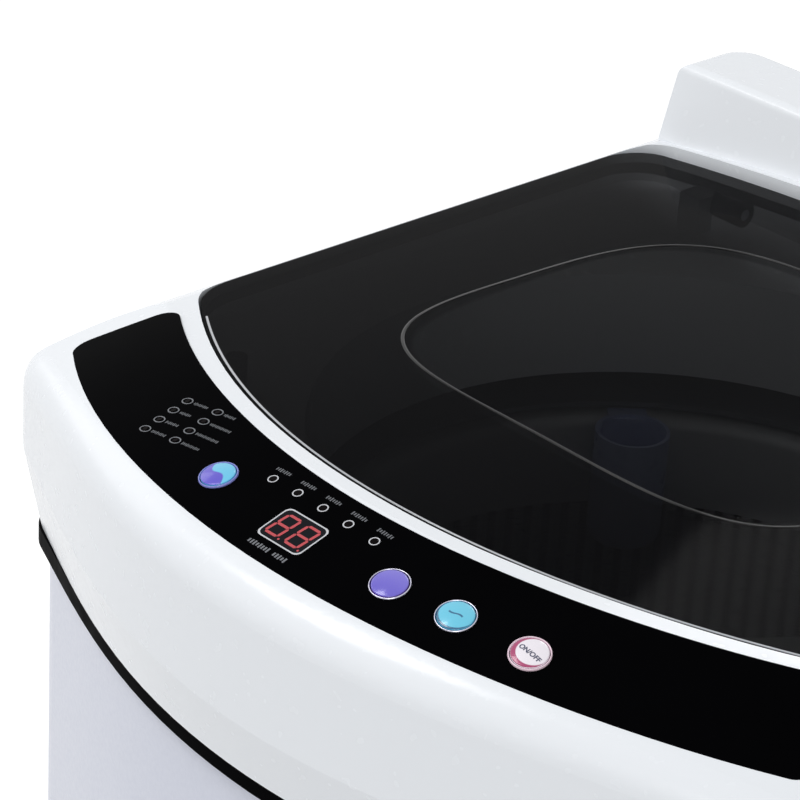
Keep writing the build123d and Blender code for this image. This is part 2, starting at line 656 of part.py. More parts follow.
def make_foot_locknut():
    """Hexagon nut against the base, round the screw foot's stem."""
    x, y = ADJUSTER_PLACE
    nut = extrude(RegularPolygon(LOCKNUT_ACROSS / 2, 6, major_radius=False), LOCKNUT_HEIGHT)
    nut = Pos(x, y, BASE_Z) * nut
    return nut - rod(x, y, BASE_Z - EPS, FOOT_STEM_RADIUS + FREE_GAP, LOCKNUT_HEIGHT + 2 * EPS)


def make_bottom_guard():
    """Slotted plate on the base's ledge."""
    z = BASE_Z + BASE_LEDGE_HEIGHT
    plate = upright(cabinet_face(BASE_WALL + FREE_GAP, z), GUARD_THICKNESS)
    for x, y in FOOT_PLACES + [ADJUSTER_PLACE]:
        plate -= rod(x, y, z - EPS, FOOT_BOSS_RADIUS + FREE_GAP, GUARD_THICKNESS + 2 * EPS)
    pitch = 2 * (FOOT_X - 2 * FOOT_BOSS_RADIUS) / GUARD_SLOT_COUNT
    for i in range(GUARD_SLOT_COUNT):
        x = (i - (GUARD_SLOT_COUNT - 1) / 2) * pitch
        plate -= block(x, 10, z - EPS, pitch / 2, DEPTH / 2, GUARD_THICKNESS + 2 * EPS)
    return plate


def back_screw_places():
    """Screw places along the back cover's two long edges."""
    half = CABINET_HALF_WIDTH - BACK_FLANGE / 2
    low, high = BACK_WINDOW_Z
    pitch = (high - low) / BACK_SCREW_ROWS
    return [(x, low + pitch * (i + 0.5)) for x in (-half, half) for i in range(BACK_SCREW_ROWS)]


def make_back_cover():
    """Sheet screwed over the cabinet's back window."""
    half = CABINET_HALF_WIDTH - BACK_COVER_MARGIN
    low, high = BACK_WINDOW_Z[0] - BACK_COVER_LAP, BACK_WINDOW_Z[1] + BACK_COVER_LAP
    y = CABINET_BACK_Y + BACK_COVER_SHEET / 2
    cover = block(0, y, low, 2 * half, BACK_COVER_SHEET, high - low)
    cover = fillet(cover.edges().filter_by(Axis.Y), BACK_COVER_CORNER)
    for x, z in back_screw_places():
        cover -= Pos(x, y, z) * Rot(90, 0, 0) * Cylinder(SCREW_RADIUS + FREE_GAP, 10)
    cover -= Pos(GLAND_X, y, GLAND_Z) * Rot(90, 0, 0) * Cylinder(GLAND_RADIUS - 2, 10)
    return cover - Pos(GROMMET_X, y, GROMMET_Z) * Rot(90, 0, 0) * Cylinder(GROMMET_RADIUS - 3, 10)


def make_back_cover_screws():
    """Eight pan head screws through the back cover."""
    face_y = CABINET_BACK_Y + BACK_COVER_SHEET
    screws = []
    for x, z in back_screw_places():
        head = Pos(x, face_y + SCREW_HEAD / 2, z) * Rot(90, 0, 0) * Cylinder(SCREW_HEAD_RADIUS, SCREW_HEAD)
        shank = Pos(x, face_y - BACK_COVER_SHEET / 2, z) * Rot(90, 0, 0) * Cylinder(
            SCREW_RADIUS, BACK_COVER_SHEET)
        screws.append(head + shank)
    return screws


def make_cord_gland():
    """Gland in the back cover where the power cord comes out."""
    y = CABINET_BACK_Y
    flange = Pos(GLAND_X, y + BACK_COVER_SHEET + 2, GLAND_Z) * Rot(90, 0, 0) * Cylinder(GLAND_RADIUS, 4)
    neck = Pos(GLAND_X, y + BACK_COVER_SHEET / 2, GLAND_Z) * Rot(90, 0, 0) * Cylinder(
        GLAND_RADIUS - 2, BACK_COVER_SHEET)
    bore = Pos(GLAND_X, y, GLAND_Z) * Rot(90, 0, 0) * Cylinder(GLAND_RADIUS - 5, 20)
    return flange + neck - bore


def make_drain_grommet():
    """Rubber ring in the back cover that the drain hose passes through."""
    y = CABINET_BACK_Y
    flange = Pos(GROMMET_X, y + BACK_COVER_SHEET + 1.5, GROMMET_Z) * Rot(90, 0, 0) * Cylinder(
        GROMMET_RADIUS, 3)
    neck = Pos(GROMMET_X, y + BACK_COVER_SHEET / 2, GROMMET_Z) * Rot(90, 0, 0) * Cylinder(
        GROMMET_RADIUS - 3, BACK_COVER_SHEET)
    bore = Pos(GROMMET_X, y, GROMMET_Z) * Rot(90, 0, 0) * Cylinder(GROMMET_RADIUS - 6, 20)
    return flange + neck - bore


def make_run_capacitor():
    """Motor capacitor that stands on the base's spigot rail."""
    x = CABINET_HALF_WIDTH - SHEET - FREE_GAP - CAPACITOR_RADIUS - 2
    return rod(-x, CAPACITOR_Y, BASE_TOP_Z + BASE_SPIGOT, CAPACITOR_RADIUS, CAPACITOR_LENGTH)


# ---- Top cover ----------------------------------------------------------------------------------
def cover_block(inset, foot_z):
    """The top cover's outer or inner shape as one solid, with the bulged apron."""
    top = upright(cover_face(inset, CREST_Z), DECK_Z + 20 - CREST_Z)
    top = top & under_panel(inset) & crown(DECK_Z - inset, DECK_CROWN_RADIUS)
    top = round_shoulder(top, SHOULDER_RADIUS - inset) & barrel(inset)
    crest = cover_face(inset, CREST_Z)
    foot = bowed_face(FRONT_Y + inset + APRON_TUCK, (COVER_RISE, COVER_FLARE),
                      HALF_WIDTH - inset - APRON_SIDE_TUCK, BACK_Y - inset,
                      COVER_CORNER - inset, COVER_BACK_CORNER - inset, APRON_FOOT_Z)
    apron = loft([foot, crest], ruled=True)
    if foot_z < APRON_FOOT_Z:
        apron += upright(Pos(0, 0, foot_z - APRON_FOOT_Z) * foot, APRON_FOOT_Z - foot_z)
    return top + apron


def make_top_cover():
    """White moulded cover: bowed apron, panel seat, lid well and the collar of the opening."""
    outer = cover_block(0, APRON_FOOT_Z)
    inner = cover_block(COVER_WALL, APRON_FOOT_Z - 10)
    cover = outer - inner
    # the well that the lid lies in
    well_outer = upright(lid_face(LID_GAP + COVER_WALL, WELL_Z - COVER_WALL, WELL_BACK_Y + COVER_WALL), 80)
    cover += well_outer & outer
    cover -= upright(lid_face(LID_GAP, WELL_Z, WELL_BACK_Y), 80)
    # round opening with its collar
    cover += ring(0, TUB_Y, COLLAR_Z, OPENING_RADIUS + COVER_WALL, OPENING_RADIUS, WELL_Z - COLLAR_Z)
    cover -= rod(0, TUB_Y, COLLAR_Z - EPS, OPENING_RADIUS, WELL_Z - COLLAR_Z + 2 * EPS)
    # seat and window of the control panel
    seat = panel_prism(COVER_WALL, 0, APRON_FOOT_Z, DECK_Z + 20) & under_panel() & outer
    cover += seat - under_panel(PANEL_THICKNESS + COVER_WALL)
    pocket = panel_prism(FREE_GAP / 2, PANEL_CORNER, PANEL_Z - 60, DECK_Z + 20)
    cover -= pocket - under_panel(PANEL_THICKNESS)
    cover -= tray_prism(0, PANEL_Z - 60, TRAY_END_X)
    # slot in the deck under the console, drawer mouth and lid switch slot
    slot_front = CONSOLE_FRONT_Y + 4
    slot_back = BACK_Y - COVER_WALL
    cover -= block(0, (slot_front + slot_back) / 2, WELL_Z + 4, 2 * DECK_SLOT_HALF_LENGTH,
                   slot_back - slot_front, 60)
    notch = CONSOLE_PORT + 2 * CONSOLE_WALL + 2 * FREE_GAP
    cover -= block(0, BACK_Y, port_z() - notch / 2, notch, 2 * COVER_WALL + 1, 60)
    for side in (-1, 1):
        cover -= back_bore(side * TAB_X, BACK_Y, SCREW_RADIUS + FREE_GAP, 2 * COVER_WALL + 1)
        cover -= back_bore(side * TAB_X, BACK_Y, SCREW_HEAD_RADIUS + FREE_GAP, 2 * SCREW_HEAD)
    mouth = block(0, OPENING_RADIUS, drawer_z() - DRAWER_GAP, DRAWER_WIDTH + 2 * DRAWER_GAP,
                  60, DRAWER_HEIGHT + 2 * DRAWER_GAP)
    cover -= mouth
    cover -= block(LID_SWITCH_X, LID_BACK_Y - LID_SWITCH_SETBACK, WELL_Z - 20, LEVER_THICKNESS + 2,
                   LID_SWITCH_SIZE[1], 24)
    cover += hinge_blocks()
    # everything above the strip's crowned top only
    cover -= crown(SPLIT_Z, SPLIT_CROWN_RADIUS) & block(0, 0, APRON_FOOT_Z - 20, FAR, FAR, 60) \
        - rod(0, TUB_Y, APRON_FOOT_Z - 20, TUB_RADIUS, 60)
    return keep_largest(cover)


def round_shoulder(body, radius):
    """Rounds the edge all round the cover, where its top meets its upright walls."""
    walls = [face for face in body.faces() if abs(face.normal_at().Z) < 0.01]
    rim = [edge for wall in walls for edge in wall.edges()
           if (edge @ 0.5).Z > CREST_Z + COVER_WALL and abs((edge % 0.5).Z) < 0.9]
    return fillet(rim, radius)


def keep_largest(shape):
    """The largest solid of a shape."""
    return max(shape.solids(), key=lambda s: s.volume)


def make_lid_bumpers():
    """Two rubber posts on the well's floor that the closed lid rests on."""
    x = BUMPER_X
    y = bow_y(FRONT_Y + LID_SETBACK, LID_BOW, x) + BUMPER_SETBACK
    top = LID_Z - x**2 / (2 * DECK_CROWN_RADIUS) - LID_THICKNESS - FREE_GAP - 0.4
    return [rod(side * x, y, WELL_Z, BUMPER_RADIUS, top - WELL_Z) for side in (-1, 1)]


# ---- Lid and hinge ------------------------------------------------------------------------------
def make_lid():
    """Smoked one-piece lid: a crowned plate with a skirt all round and two hinge bosses below."""
    plate = upright(lid_face(0, WELL_Z), LID_Z + 5 - WELL_Z) & crown(LID_Z, DECK_CROWN_RADIUS)
    inside = upright(lid_face(-LID_SKIRT_WALL, WELL_Z - 5, LID_BACK_Y - LID_SKIRT_WALL), 60)
    hollow = inside & crown(LID_Z - LID_THICKNESS, DECK_CROWN_RADIUS)
    lid = plate - crown(LID_Z - LID_SKIRT, DECK_CROWN_RADIUS) - hollow
    lid = keep_largest(lid)
    for side in (-1, 1):
        x = side * (HINGE_BOSS_X + HINGE_BOSS_LENGTH / 2)
        boss = Pos(x, HINGE_Y, HINGE_Z) * Rot(0, 90, 0) * Cylinder(HINGE_BOSS_RADIUS, HINGE_BOSS_LENGTH)
        web = block(x, HINGE_Y, HINGE_Z, HINGE_BOSS_LENGTH, 2 * HINGE_BOSS_RADIUS - 4, 30)
        web = web & crown(LID_Z - LID_THICKNESS / 2, DECK_CROWN_RADIUS)
        bore = Pos(x, HINGE_Y, HINGE_Z) * Rot(0, 90, 0) * Cylinder(HINGE_PIN_RADIUS + RUNNING_FIT, 60)
        lid = lid + boss + web - bore
    return lid


def make_hinge_pins():
    """Two steel pins, each held in a block of the well and turning in a boss of the lid."""
    length = HINGE_BOSS_LENGTH + HINGE_SIDE_GAP + HINGE_BLOCK
    start = HINGE_BOSS_X
    return [Pos(side * (start + length / 2), HINGE_Y, HINGE_Z) * Rot(0, 90, 0) * Cylinder(
        HINGE_PIN_RADIUS, length) for side in (-1, 1)]


def hinge_blocks():
    """Two blocks on the well's floor that hold the hinge pins, part of the cover's moulding."""
    blocks = Part()
    for side in (-1, 1):
        x = side * (HINGE_BOSS_X + HINGE_BOSS_LENGTH + HINGE_SIDE_GAP + HINGE_BLOCK / 2)
        foot_z = WELL_Z - COVER_WALL / 2
        blocks += block(x, HINGE_Y - HINGE_FOOT_SETBACK - HINGE_FOOT_DEPTH / 2, foot_z, HINGE_BLOCK,
                        HINGE_FOOT_DEPTH, HINGE_Z + HINGE_BLOCK_RADIUS - foot_z)
        blocks += Pos(x, HINGE_Y, HINGE_Z) * Rot(0, 90, 0) * Cylinder(HINGE_BLOCK_RADIUS, HINGE_BLOCK)
        blocks -= Pos(x, HINGE_Y, HINGE_Z) * Rot(0, 90, 0) * Cylinder(HINGE_PIN_RADIUS, 60)
    return blocks


def make_lid_switch():
    """Switch box under the well's floor, at the lid's back corner."""
    size = LID_SWITCH_SIZE
    x = LID_SWITCH_X + LEVER_HUB_RADIUS + size[0] / 2
    return block(x, LID_BACK_Y - LID_SWITCH_SETBACK, WELL_Z - COVER_WALL - size[2], *size)


def make_lid_switch_lever():
    """Lever beside the switch box whose tip stands up through the floor's slot."""
    y, z = LID_BACK_Y - LID_SWITCH_SETBACK, WELL_Z - COVER_WALL - 12
    arm = block(LID_SWITCH_X, y - 4, z, LEVER_THICKNESS, 6, 19)
    hub = Pos(LID_SWITCH_X, y, z) * Rot(0, 90, 0) * Cylinder(LEVER_HUB_RADIUS, LEVER_THICKNESS)
    pin = Pos(LID_SWITCH_X + 2.25, y, z) * Rot(0, 90, 0) * Cylinder(2, 5.1)
    return arm + hub + pin


# ---- Control panel ------------------------------------------------------------------------------
def make_control_panel():
    """Gloss panel that lies in the cover's seat, with holes for buttons, lenses and display."""
    panel = panel_prism(0, PANEL_CORNER, PANEL_Z - 60, DECK_Z + 20) & under_panel()
    panel -= under_panel(PANEL_THICKNESS)
    holes = [level(plane, -6, 6, BUTTON_HOLE_RADIUS) for plane in BUTTON_PLANES.values()]
    holes += [level(plane, -6, 6, LENS_RADIUS + RUNNING_FIT) for plane in LENS_PLANES]
    holes += [level(plane, -6, 6, SMALL_LENS_RADIUS + RUNNING_FIT) for plane in PROGRAM_LENS_PLANES]
    holes.append(rounded_plate(DISPLAY_PLANE, -6, 6, DISPLAY_WIDTH + 2 * RUNNING_FIT,
                               DISPLAY_HEIGHT + 2 * RUNNING_FIT, DISPLAY_CORNER))
    return keep_largest(panel - holes)


def make_button(plane):
    """Round push button: cap, flange under the panel and stem down to its switch."""
    depth = board_depth(plane)
    under = -PANEL_THICKNESS - FREE_GAP
    stem_end = -depth + SWITCH_HEIGHT + SWITCH_PLUNGER + SWITCH_BOARD_GAP
    cap = level(plane, under - BUTTON_FLANGE, BUTTON_PROUD, BUTTON_CAP_RADIUS)
    cap = fillet(cap.edges().sort_by_distance(plane.origin + plane.z_dir * 50)[:1], BUTTON_EDGE)
    flange = level(plane, under - BUTTON_FLANGE, under, BUTTON_FLANGE_RADIUS)
    return cap + flange + level(plane, stem_end, under - BUTTON_FLANGE + EPS, BUTTON_STEM_RADIUS)


def make_button_bezels():
    """Four rings pressed into the panel round the buttons."""
    rings = []
    for plane in BUTTON_PLANES.values():
        body = level(plane, BUTTON_RING_LIFT, BUTTON_RING_PROUD, BUTTON_RING_RADIUS)
        body += level(plane, -PANEL_THICKNESS + 0.2, BUTTON_RING_PROUD, BUTTON_HOLE_RADIUS)
        rings.append(body - level(plane, -8, 8, BUTTON_BORE_RADIUS))
    return rings


def make_display_window():
    """Tinted window in the panel over the digits."""
    return rounded_plate(DISPLAY_PLANE, -PANEL_THICKNESS, DISPLAY_PROUD, DISPLAY_WIDTH, DISPLAY_HEIGHT,
                         DISPLAY_CORNER)


def make_display_module():
    """Two digit LED block that stands on the board under the window."""
    depth = board_depth(DISPLAY_PLANE)
    shroud = rounded_plate(DISPLAY_PLANE, -depth - 1, -PANEL_THICKNESS - FREE_GAP, DISPLAY_WIDTH - 1,
                           DISPLAY_HEIGHT - 1, DISPLAY_CORNER)
    return keep_largest(shroud - board_side(0.0))


def board_side(drop):
    """Everything under the control board's top, or under a plane that lies drop below it."""
    plane = Plane(origin=BOARD_PLANE.origin - BOARD_PLANE.z_dir * (BOARD_DROP + drop),
                  x_dir=BOARD_PLANE.x_dir, z_dir=BOARD_PLANE.z_dir)
    size = 400
    return plane * Pos(0, 0, -size / 2) * Box(size, size, size)


def make_indicator_lenses():
    """Light pipes from the board's LEDs to the panel: five large and eight small."""
    pipes = []
    groups = ((LENS_PLANES, LENS_RADIUS), (PROGRAM_LENS_PLANES, SMALL_LENS_RADIUS))
    for planes, radius in groups:
        for plane in planes:
            pipe = level(plane, -board_depth(plane) - 2, DISPLAY_PROUD, radius)
            pipes.append(keep_largest(pipe - board_side(0.0)))
    return pipes


def make_control_board():
    """Control board, parallel to the panel's middle."""
    blank = tray_prism(-BOARD_MARGIN, PANEL_Z - TRAY_DROP, BOARD_END_X)
    return keep_largest((blank & board_side(0.0)) - board_side(BOARD_THICKNESS))


def make_tact_switches():
    """Four tact switches on the board under the buttons."""
    switches = []
    for plane in BUTTON_PLANES.values():
        depth = board_depth(plane)
        body = plane * Pos(0, 0, -depth + SWITCH_HEIGHT / 2 - 1) * Box(
            SWITCH_SIDE, SWITCH_SIDE, SWITCH_HEIGHT + 2)
        body += level(plane, -depth + SWITCH_HEIGHT - EPS, -depth + SWITCH_HEIGHT + SWITCH_PLUNGER, 1.7)
        switches.append(keep_largest(body - board_side(0.0)))
    return switches


def tray_prism(grow, low, end_x):
    """Upright prism as wide as the tray's room, moved out by grow, from low past the deck."""
    prism = panel_prism(grow - PANEL_SEAT_LIP, 0, low, DECK_Z + 20, end_x, 0.0)
    return Pos(0, PANEL_LEAN, 0) * prism


def make_panel_tray():
    """Box under the panel that holds the control board on four pillars."""
    floor_z = PANEL_Z - TRAY_DROP
    under = under_panel(PANEL_THICKNESS + COVER_WALL)
    tray = tray_prism(TRAY_WALL, floor_z, TRAY_END_X) & under
    tray -= tray_prism(0, floor_z + TRAY_WALL, TRAY_END_X)
    place_x = BOARD_END_X / 2
    centre_y = PANEL_DATUM_Y + PANEL_LEAN
    pillars = Part()
    for x in (-place_x, place_x):
        for y in (centre_y - 8, centre_y + 12):
            pillars += block(x, y, floor_z, TRAY_PILLAR, TRAY_PILLAR, 60)
    pillars = pillars & board_side(BOARD_THICKNESS)
    return keep_largest(tray + pillars)


# ---- Rear console and water inlet ---------------------------------------------------------------
def make_rear_console():
    """Hollow cover over the valve, with a leaning front and a port in its back."""
    low_z = WELL_Z
    back = BACK_Y - 0.5

    def profile(inset):
        """Side view of the console, moved in by inset."""
        return make_face(Polyline(
            (0, CONSOLE_FRONT_Y + inset, low_z), (0, CONSOLE_FRONT_Y + inset, DECK_Z - 12),
            (0, CONSOLE_FRONT_Y + CONSOLE_LEAN + inset, CONSOLE_TOP_Z - inset),
            (0, back - inset, CONSOLE_TOP_Z - inset), (0, back - inset, low_z), close=True))

    length = CONSOLE_HALF_LENGTH
    body = extrude(profile(0), length, dir=(1, 0, 0), both=True)
    body = fillet(body.edges().filter_by(Axis.Z).group_by(Axis.Y)[-1], CONSOLE_END_RADIUS)
    top = body.faces().sort_by(Axis.Z)[-1]
    body = fillet(top.edges(), CONSOLE_ROUND)
    body -= crown(DECK_Z, DECK_CROWN_RADIUS)
    body -= extrude(profile(CONSOLE_WALL), length - CONSOLE_WALL - CONSOLE_END_RADIUS / 2, dir=(1, 0, 0),
                    both=True)
    depth = VALVE_THREAD_LENGTH + 4
    pan = Pos(0, back - (depth + CONSOLE_WALL) / 2, port_z()) * Box(
        CONSOLE_PORT + 2 * CONSOLE_WALL, depth + CONSOLE_WALL, CONSOLE_PORT + 2 * CONSOLE_WALL)
    recess = Pos(0, back - depth / 2 + EPS / 2, port_z()) * Box(CONSOLE_PORT, depth + EPS, CONSOLE_PORT)
    body = body + pan - recess
    for side in (-1, 1):
        tab_z = DECK_Z - TAB_DROP
        body += block(side * TAB_X, back - CONSOLE_WALL - TAB_THICKNESS / 2, tab_z, TAB_WIDTH,
                      TAB_THICKNESS, TAB_DROP + 8)
        body -= back_bore(side * TAB_X, BACK_Y, SCREW_RADIUS, 2 * SCREW_LENGTH)
    return keep_largest(body - back_bore(0, back, VALVE_THREAD_RADIUS + FREE_GAP, 60, port_z()))


def back_bore(x, y, radius, length, z=None):
    """A cylinder along Y, centred on y, at the height of the cover's screws unless z is given."""
    height = DECK_Z - TAB_DROP + SCREW_HEAD_RADIUS + 1 if z is None else z
    return Pos(x, y, height) * Rot(90, 0, 0) * Cylinder(radius, length)


def make_cover_screws():
    """Two sunk screws through the cover's back wall into the console's tabs."""
    screws = []
    for side in (-1, 1):
        x = side * TAB_X
        head = back_bore(x, BACK_Y - SCREW_HEAD / 2, SCREW_HEAD_RADIUS, SCREW_HEAD)
        shank_end = BACK_Y - SCREW_LENGTH
        screws.append(head + back_bore(x, (BACK_Y - 1 + shank_end) / 2, SCREW_RADIUS,
                                       BACK_Y - 1 - shank_end))
    return screws


def port_z():
    """Height of the inlet valve's threaded port."""
    return CONSOLE_TOP_Z - 2 * CONSOLE_WALL - CONSOLE_PORT / 2


def valve_range():
    """Front and back of the inlet valve's body, behind the console's leaning front."""
    front = CONSOLE_FRONT_Y + CONSOLE_LEAN + CONSOLE_WALL + 1
    return front, BACK_Y - 0.5 - VALVE_THREAD_LENGTH - 4 - CONSOLE_WALL


def make_inlet_valve():
    """Solenoid valve: body, coil, threaded inlet to the back and spout down to the inlet box."""
    front, back = valve_range()
    y = (front + back) / 2
    z = port_z() - VALVE_SIDE / 2
    body = block(0, y, z, VALVE_SIDE, back - front, VALVE_SIDE)
    coil = Pos(VALVE_SIDE / 2 + 12, y, port_z()) * Rot(0, 90, 0) * Cylinder((back - front) / 2 - 1, 24)
    thread = back_bore(0, (back + BACK_Y - 2) / 2, VALVE_THREAD_RADIUS, BACK_Y - 2 - back, port_z())
    bore = back_bore(0, BACK_Y, VALVE_BORE_RADIUS, 2 * (VALVE_THREAD_LENGTH + 4), port_z())
    spout = rod(0, y, inlet_box_top(), VALVE_SPOUT_RADIUS, z - inlet_box_top() + EPS)
    return body + coil + thread + spout - bore


def drawer_z():
    """Underside of the detergent drawer."""
    return WELL_Z - COVER_WALL - INLET_BOX_WALL - DRAWER_GAP - DRAWER_HEIGHT


def drawer_front_y():
    """Front face of the closed drawer, just inside the opening's wall."""
    return TUB_Y + OPENING_RADIUS - 12


def inlet_box_top():
    """Top of the water inlet box: it hangs from the well's floor."""
    return WELL_Z - COVER_WALL


def make_water_inlet_box():
    """Housing that the drawer slides in, hung under the well's floor."""
    front = drawer_front_y() + INLET_BOX_SETBACK
    valve_y = sum(valve_range()) / 2
    back = max(drawer_front_y() + DRAWER_DEPTH + DRAWER_GAP + INLET_BOX_WALL,
               valve_y + VALVE_SPOUT_RADIUS + INLET_BOX_WALL)
    half = DRAWER_WIDTH / 2 + DRAWER_GAP + INLET_BOX_WALL
    low = drawer_z() - DRAWER_GAP - INLET_BOX_WALL
    body = block(0, (front + back) / 2, low, 2 * half, back - front, inlet_box_top() - low)
    room = block(0, (front + back) / 2 - INLET_BOX_WALL, drawer_z() - DRAWER_GAP,
                 DRAWER_WIDTH + 2 * DRAWER_GAP, back - front, DRAWER_HEIGHT + 2 * DRAWER_GAP)
    return body - room - rod(0, valve_y, inlet_box_top() - 20, VALVE_SPOUT_RADIUS - 2, 30)


def make_detergent_drawer():
    """Open-topped tray with two rooms."""
    y = drawer_front_y() + DRAWER_DEPTH / 2
    tray = block(0, y, drawer_z(), DRAWER_WIDTH, DRAWER_DEPTH, DRAWER_HEIGHT)
    room = (DRAWER_WIDTH - 3 * DRAWER_WALL) / 2
    for side in (-1, 1):
        tray -= block(side * (room + DRAWER_WALL) / 2, y + 1, drawer_z() + DRAWER_WALL, room,
                      DRAWER_DEPTH - 2 * DRAWER_WALL - 2, DRAWER_HEIGHT)
    return tray


def make_pressure_switch():
    """Water level sensor that hangs from the console's roof."""
    roof = CONSOLE_TOP_Z - CONSOLE_WALL
    y = CONSOLE_FRONT_Y + CONSOLE_LEAN + CONSOLE_WALL + SENSOR_RADIUS
    body = rod(SENSOR_X, y, roof - SENSOR_DEPTH, SENSOR_RADIUS, SENSOR_DEPTH)
    return body + rod(SENSOR_X, y, roof - SENSOR_DEPTH - 10, 2.5, 10 + EPS)


# ---- Suspension ---------------------------------------------------------------------------------
def make_corner_brackets():
    """Four corner plates of the cabinet that carry the rods."""
    plate = upright(cabinet_face(SHEET, BRACKET_Z), BRACKET_THICKNESS)
    plate -= rod(0, TUB_Y, BRACKET_Z - EPS, TUB_RADIUS + BRACKET_TUB_GAP, BRACKET_THICKNESS + 2 * EPS)
    plate -= block(0, 0, BRACKET_Z - EPS, 2 * (ROD_X - BRACKET_REACH), FAR, BRACKET_THICKNESS + 2 * EPS)
    plate -= block(0, (ROD_FRONT_Y + ROD_BACK_Y) / 2, BRACKET_Z - EPS, FAR,
                   ROD_BACK_Y - ROD_FRONT_Y - 2 * BRACKET_REACH, BRACKET_THICKNESS + 2 * EPS)
    for x, y in ROD_PLACES:
        plate -= rod(x, y, BRACKET_Z - EPS, ROD_RADIUS + 1.5, BRACKET_THICKNESS + 2 * EPS)
    return plate.solids()


def make_suspension_rods():
    """Four rods with a seat at the head and a cap at the foot."""
    rods = []
    for x, y in ROD_PLACES:
        shaft = rod(x, y, ROD_FOOT_Z, ROD_RADIUS, ROD_HEAD_Z + ROD_HEAD - ROD_FOOT_Z)
        head = rod(x, y, ROD_HEAD_Z, ROD_HEAD_RADIUS, ROD_HEAD)
        head = fillet(head.edges().sort_by(Axis.Z)[-1:], 3.0)
        rods.append(shaft + head + rod(x, y, ROD_FOOT_Z, ROD_CAP_RADIUS, ROD_CAP))
    return rods


def make_suspension_springs():
    """Four coil springs between the rods' caps and the damper cups."""
    springs = []
    height = SPRING_LENGTH - 2 * SPRING_WIRE - 2 * FREE_GAP
    for x, y in ROD_PLACES:
        path = Helix(height / SPRING_TURNS, height, SPRING_RADIUS)
        section = Plane(origin=path @ 0, z_dir=path % 0) * Circle(SPRING_WIRE)
        coil = sweep(section, path)
        springs.append(Pos(x, y, SPRING_Z + SPRING_WIRE + FREE_GAP) * coil)
    return springs


def make_damper_cups():
    """Four cups under the tub's lugs, each over the head of a spring."""
    cups = []
    roof = LUG_Z - CUP_ROOF
    for x, y in ROD_PLACES:
        cup = rod(x, y, roof - CUP_DEPTH, CUP_RADIUS, CUP_DEPTH + CUP_ROOF)
        cup -= rod(x, y, roof - CUP_DEPTH - EPS, CUP_RADIUS - 2, CUP_DEPTH + EPS)
        cups.append(cup - rod(x, y, roof - EPS, ROD_RADIUS + 1, CUP_ROOF + 2 * EPS))
    return cups


# ---- Tub ----------------------------------------------------------------------------------------
def make_outer_tub():
    """Water tub with four lugs, a hub for the spin shaft and a drain hole."""
    height = TUB_TOP_Z - TUB_FLOOR_Z
    tub = rod(0, TUB_Y, TUB_FLOOR_Z, TUB_RADIUS, height)
    tub += rod(0, TUB_Y, TUB_TOP_Z - 6, TUB_RADIUS + TUB_FLANGE, 6)
    for x, y in ROD_PLACES:
        angle = degrees(atan2(y - TUB_Y, x))
        reach = hypot(x, y - TUB_Y)
        length = reach + LUG_WIDTH / 2 - TUB_RADIUS + 10
        lug = Pos(reach + LUG_WIDTH / 2 - length / 2, 0, LUG_Z + LUG_HEIGHT / 2) * Box(
            length, LUG_WIDTH, LUG_HEIGHT)
        tub += Pos(0, TUB_Y, 0) * Rot(0, 0, angle) * lug
        tub -= rod(x, y, LUG_Z - EPS, ROD_RADIUS + 3, LUG_HEIGHT + 2 * EPS)
    tub -= rod(0, TUB_Y, TUB_FLOOR_Z + TUB_WALL, TUB_RADIUS - TUB_WALL, height)
    tub += rod(0, TUB_Y, TUB_FLOOR_Z, TUB_HUB_RADIUS, TUB_WALL + 5)
    tub -= rod(0, TUB_Y, TUB_FLOOR_Z - EPS, SPIN_SHAFT_RADIUS + RUNNING_FIT, 20)
    return tub - rod(*DRAIN_XY, TUB_FLOOR_Z - EPS, DRAIN_RADIUS, 20)


def make_tub_cover():
    """Ring clipped on the tub's rim."""
    outer = TUB_RADIUS + TUB_FLANGE
    plate = ring(0, TUB_Y, TUB_TOP_Z + TUB_COVER_LIFT, outer, OPENING_RADIUS, TUB_COVER_PLATE)
    return plate + ring(0, TUB_Y, TUB_TOP_Z, outer, TUB_RADIUS, TUB_COVER_LIFT + EPS)


def make_basket():
    """Perforated spin basket."""
    height = RING_Z - BASKET_FLOOR_Z
    basket = rod(0, TUB_Y, BASKET_FLOOR_Z, BASKET_RADIUS, height)
    basket -= rod(0, TUB_Y, BASKET_FLOOR_Z + BASKET_FLOOR, BASKET_RADIUS - BASKET_WALL, height)
    basket -= rod(0, TUB_Y, BASKET_FLOOR_Z - EPS, SPIN_SHAFT_RADIUS, BASKET_FLOOR + 2 * EPS)
    low = BASKET_FLOOR_Z + BASKET_HOLE_MARGIN
    pitch = (RING_Z - BASKET_HOLE_MARGIN - low) / (BASKET_HOLE_ROWS - 1)
    holes = []
    for row in range(BASKET_HOLE_ROWS):
        for column in range(BASKET_HOLE_COLUMNS):
            angle = 360 / BASKET_HOLE_COLUMNS * (column + row % 2 / 2)
            hole = Pos(BASKET_RADIUS - BASKET_WALL / 2, 0, 0) * Rot(0, 90, 0) * Cylinder(
                BASKET_HOLE_RADIUS, BASKET_WALL + 4)
            holes.append(Pos(0, TUB_Y, low + pitch * row) * Rot(0, 0, angle) * hole)
    return basket - holes


def make_balance_ring():
    """Fluid balance ring on the basket's rim."""
    body = ring(0, TUB_Y, RING_Z, BASKET_RADIUS + 1, RING_INNER_RADIUS, RING_HEIGHT)
    return fillet(body.edges().filter_by(GeomType.CIRCLE).group_by(Axis.Z)[-1], 5.0)


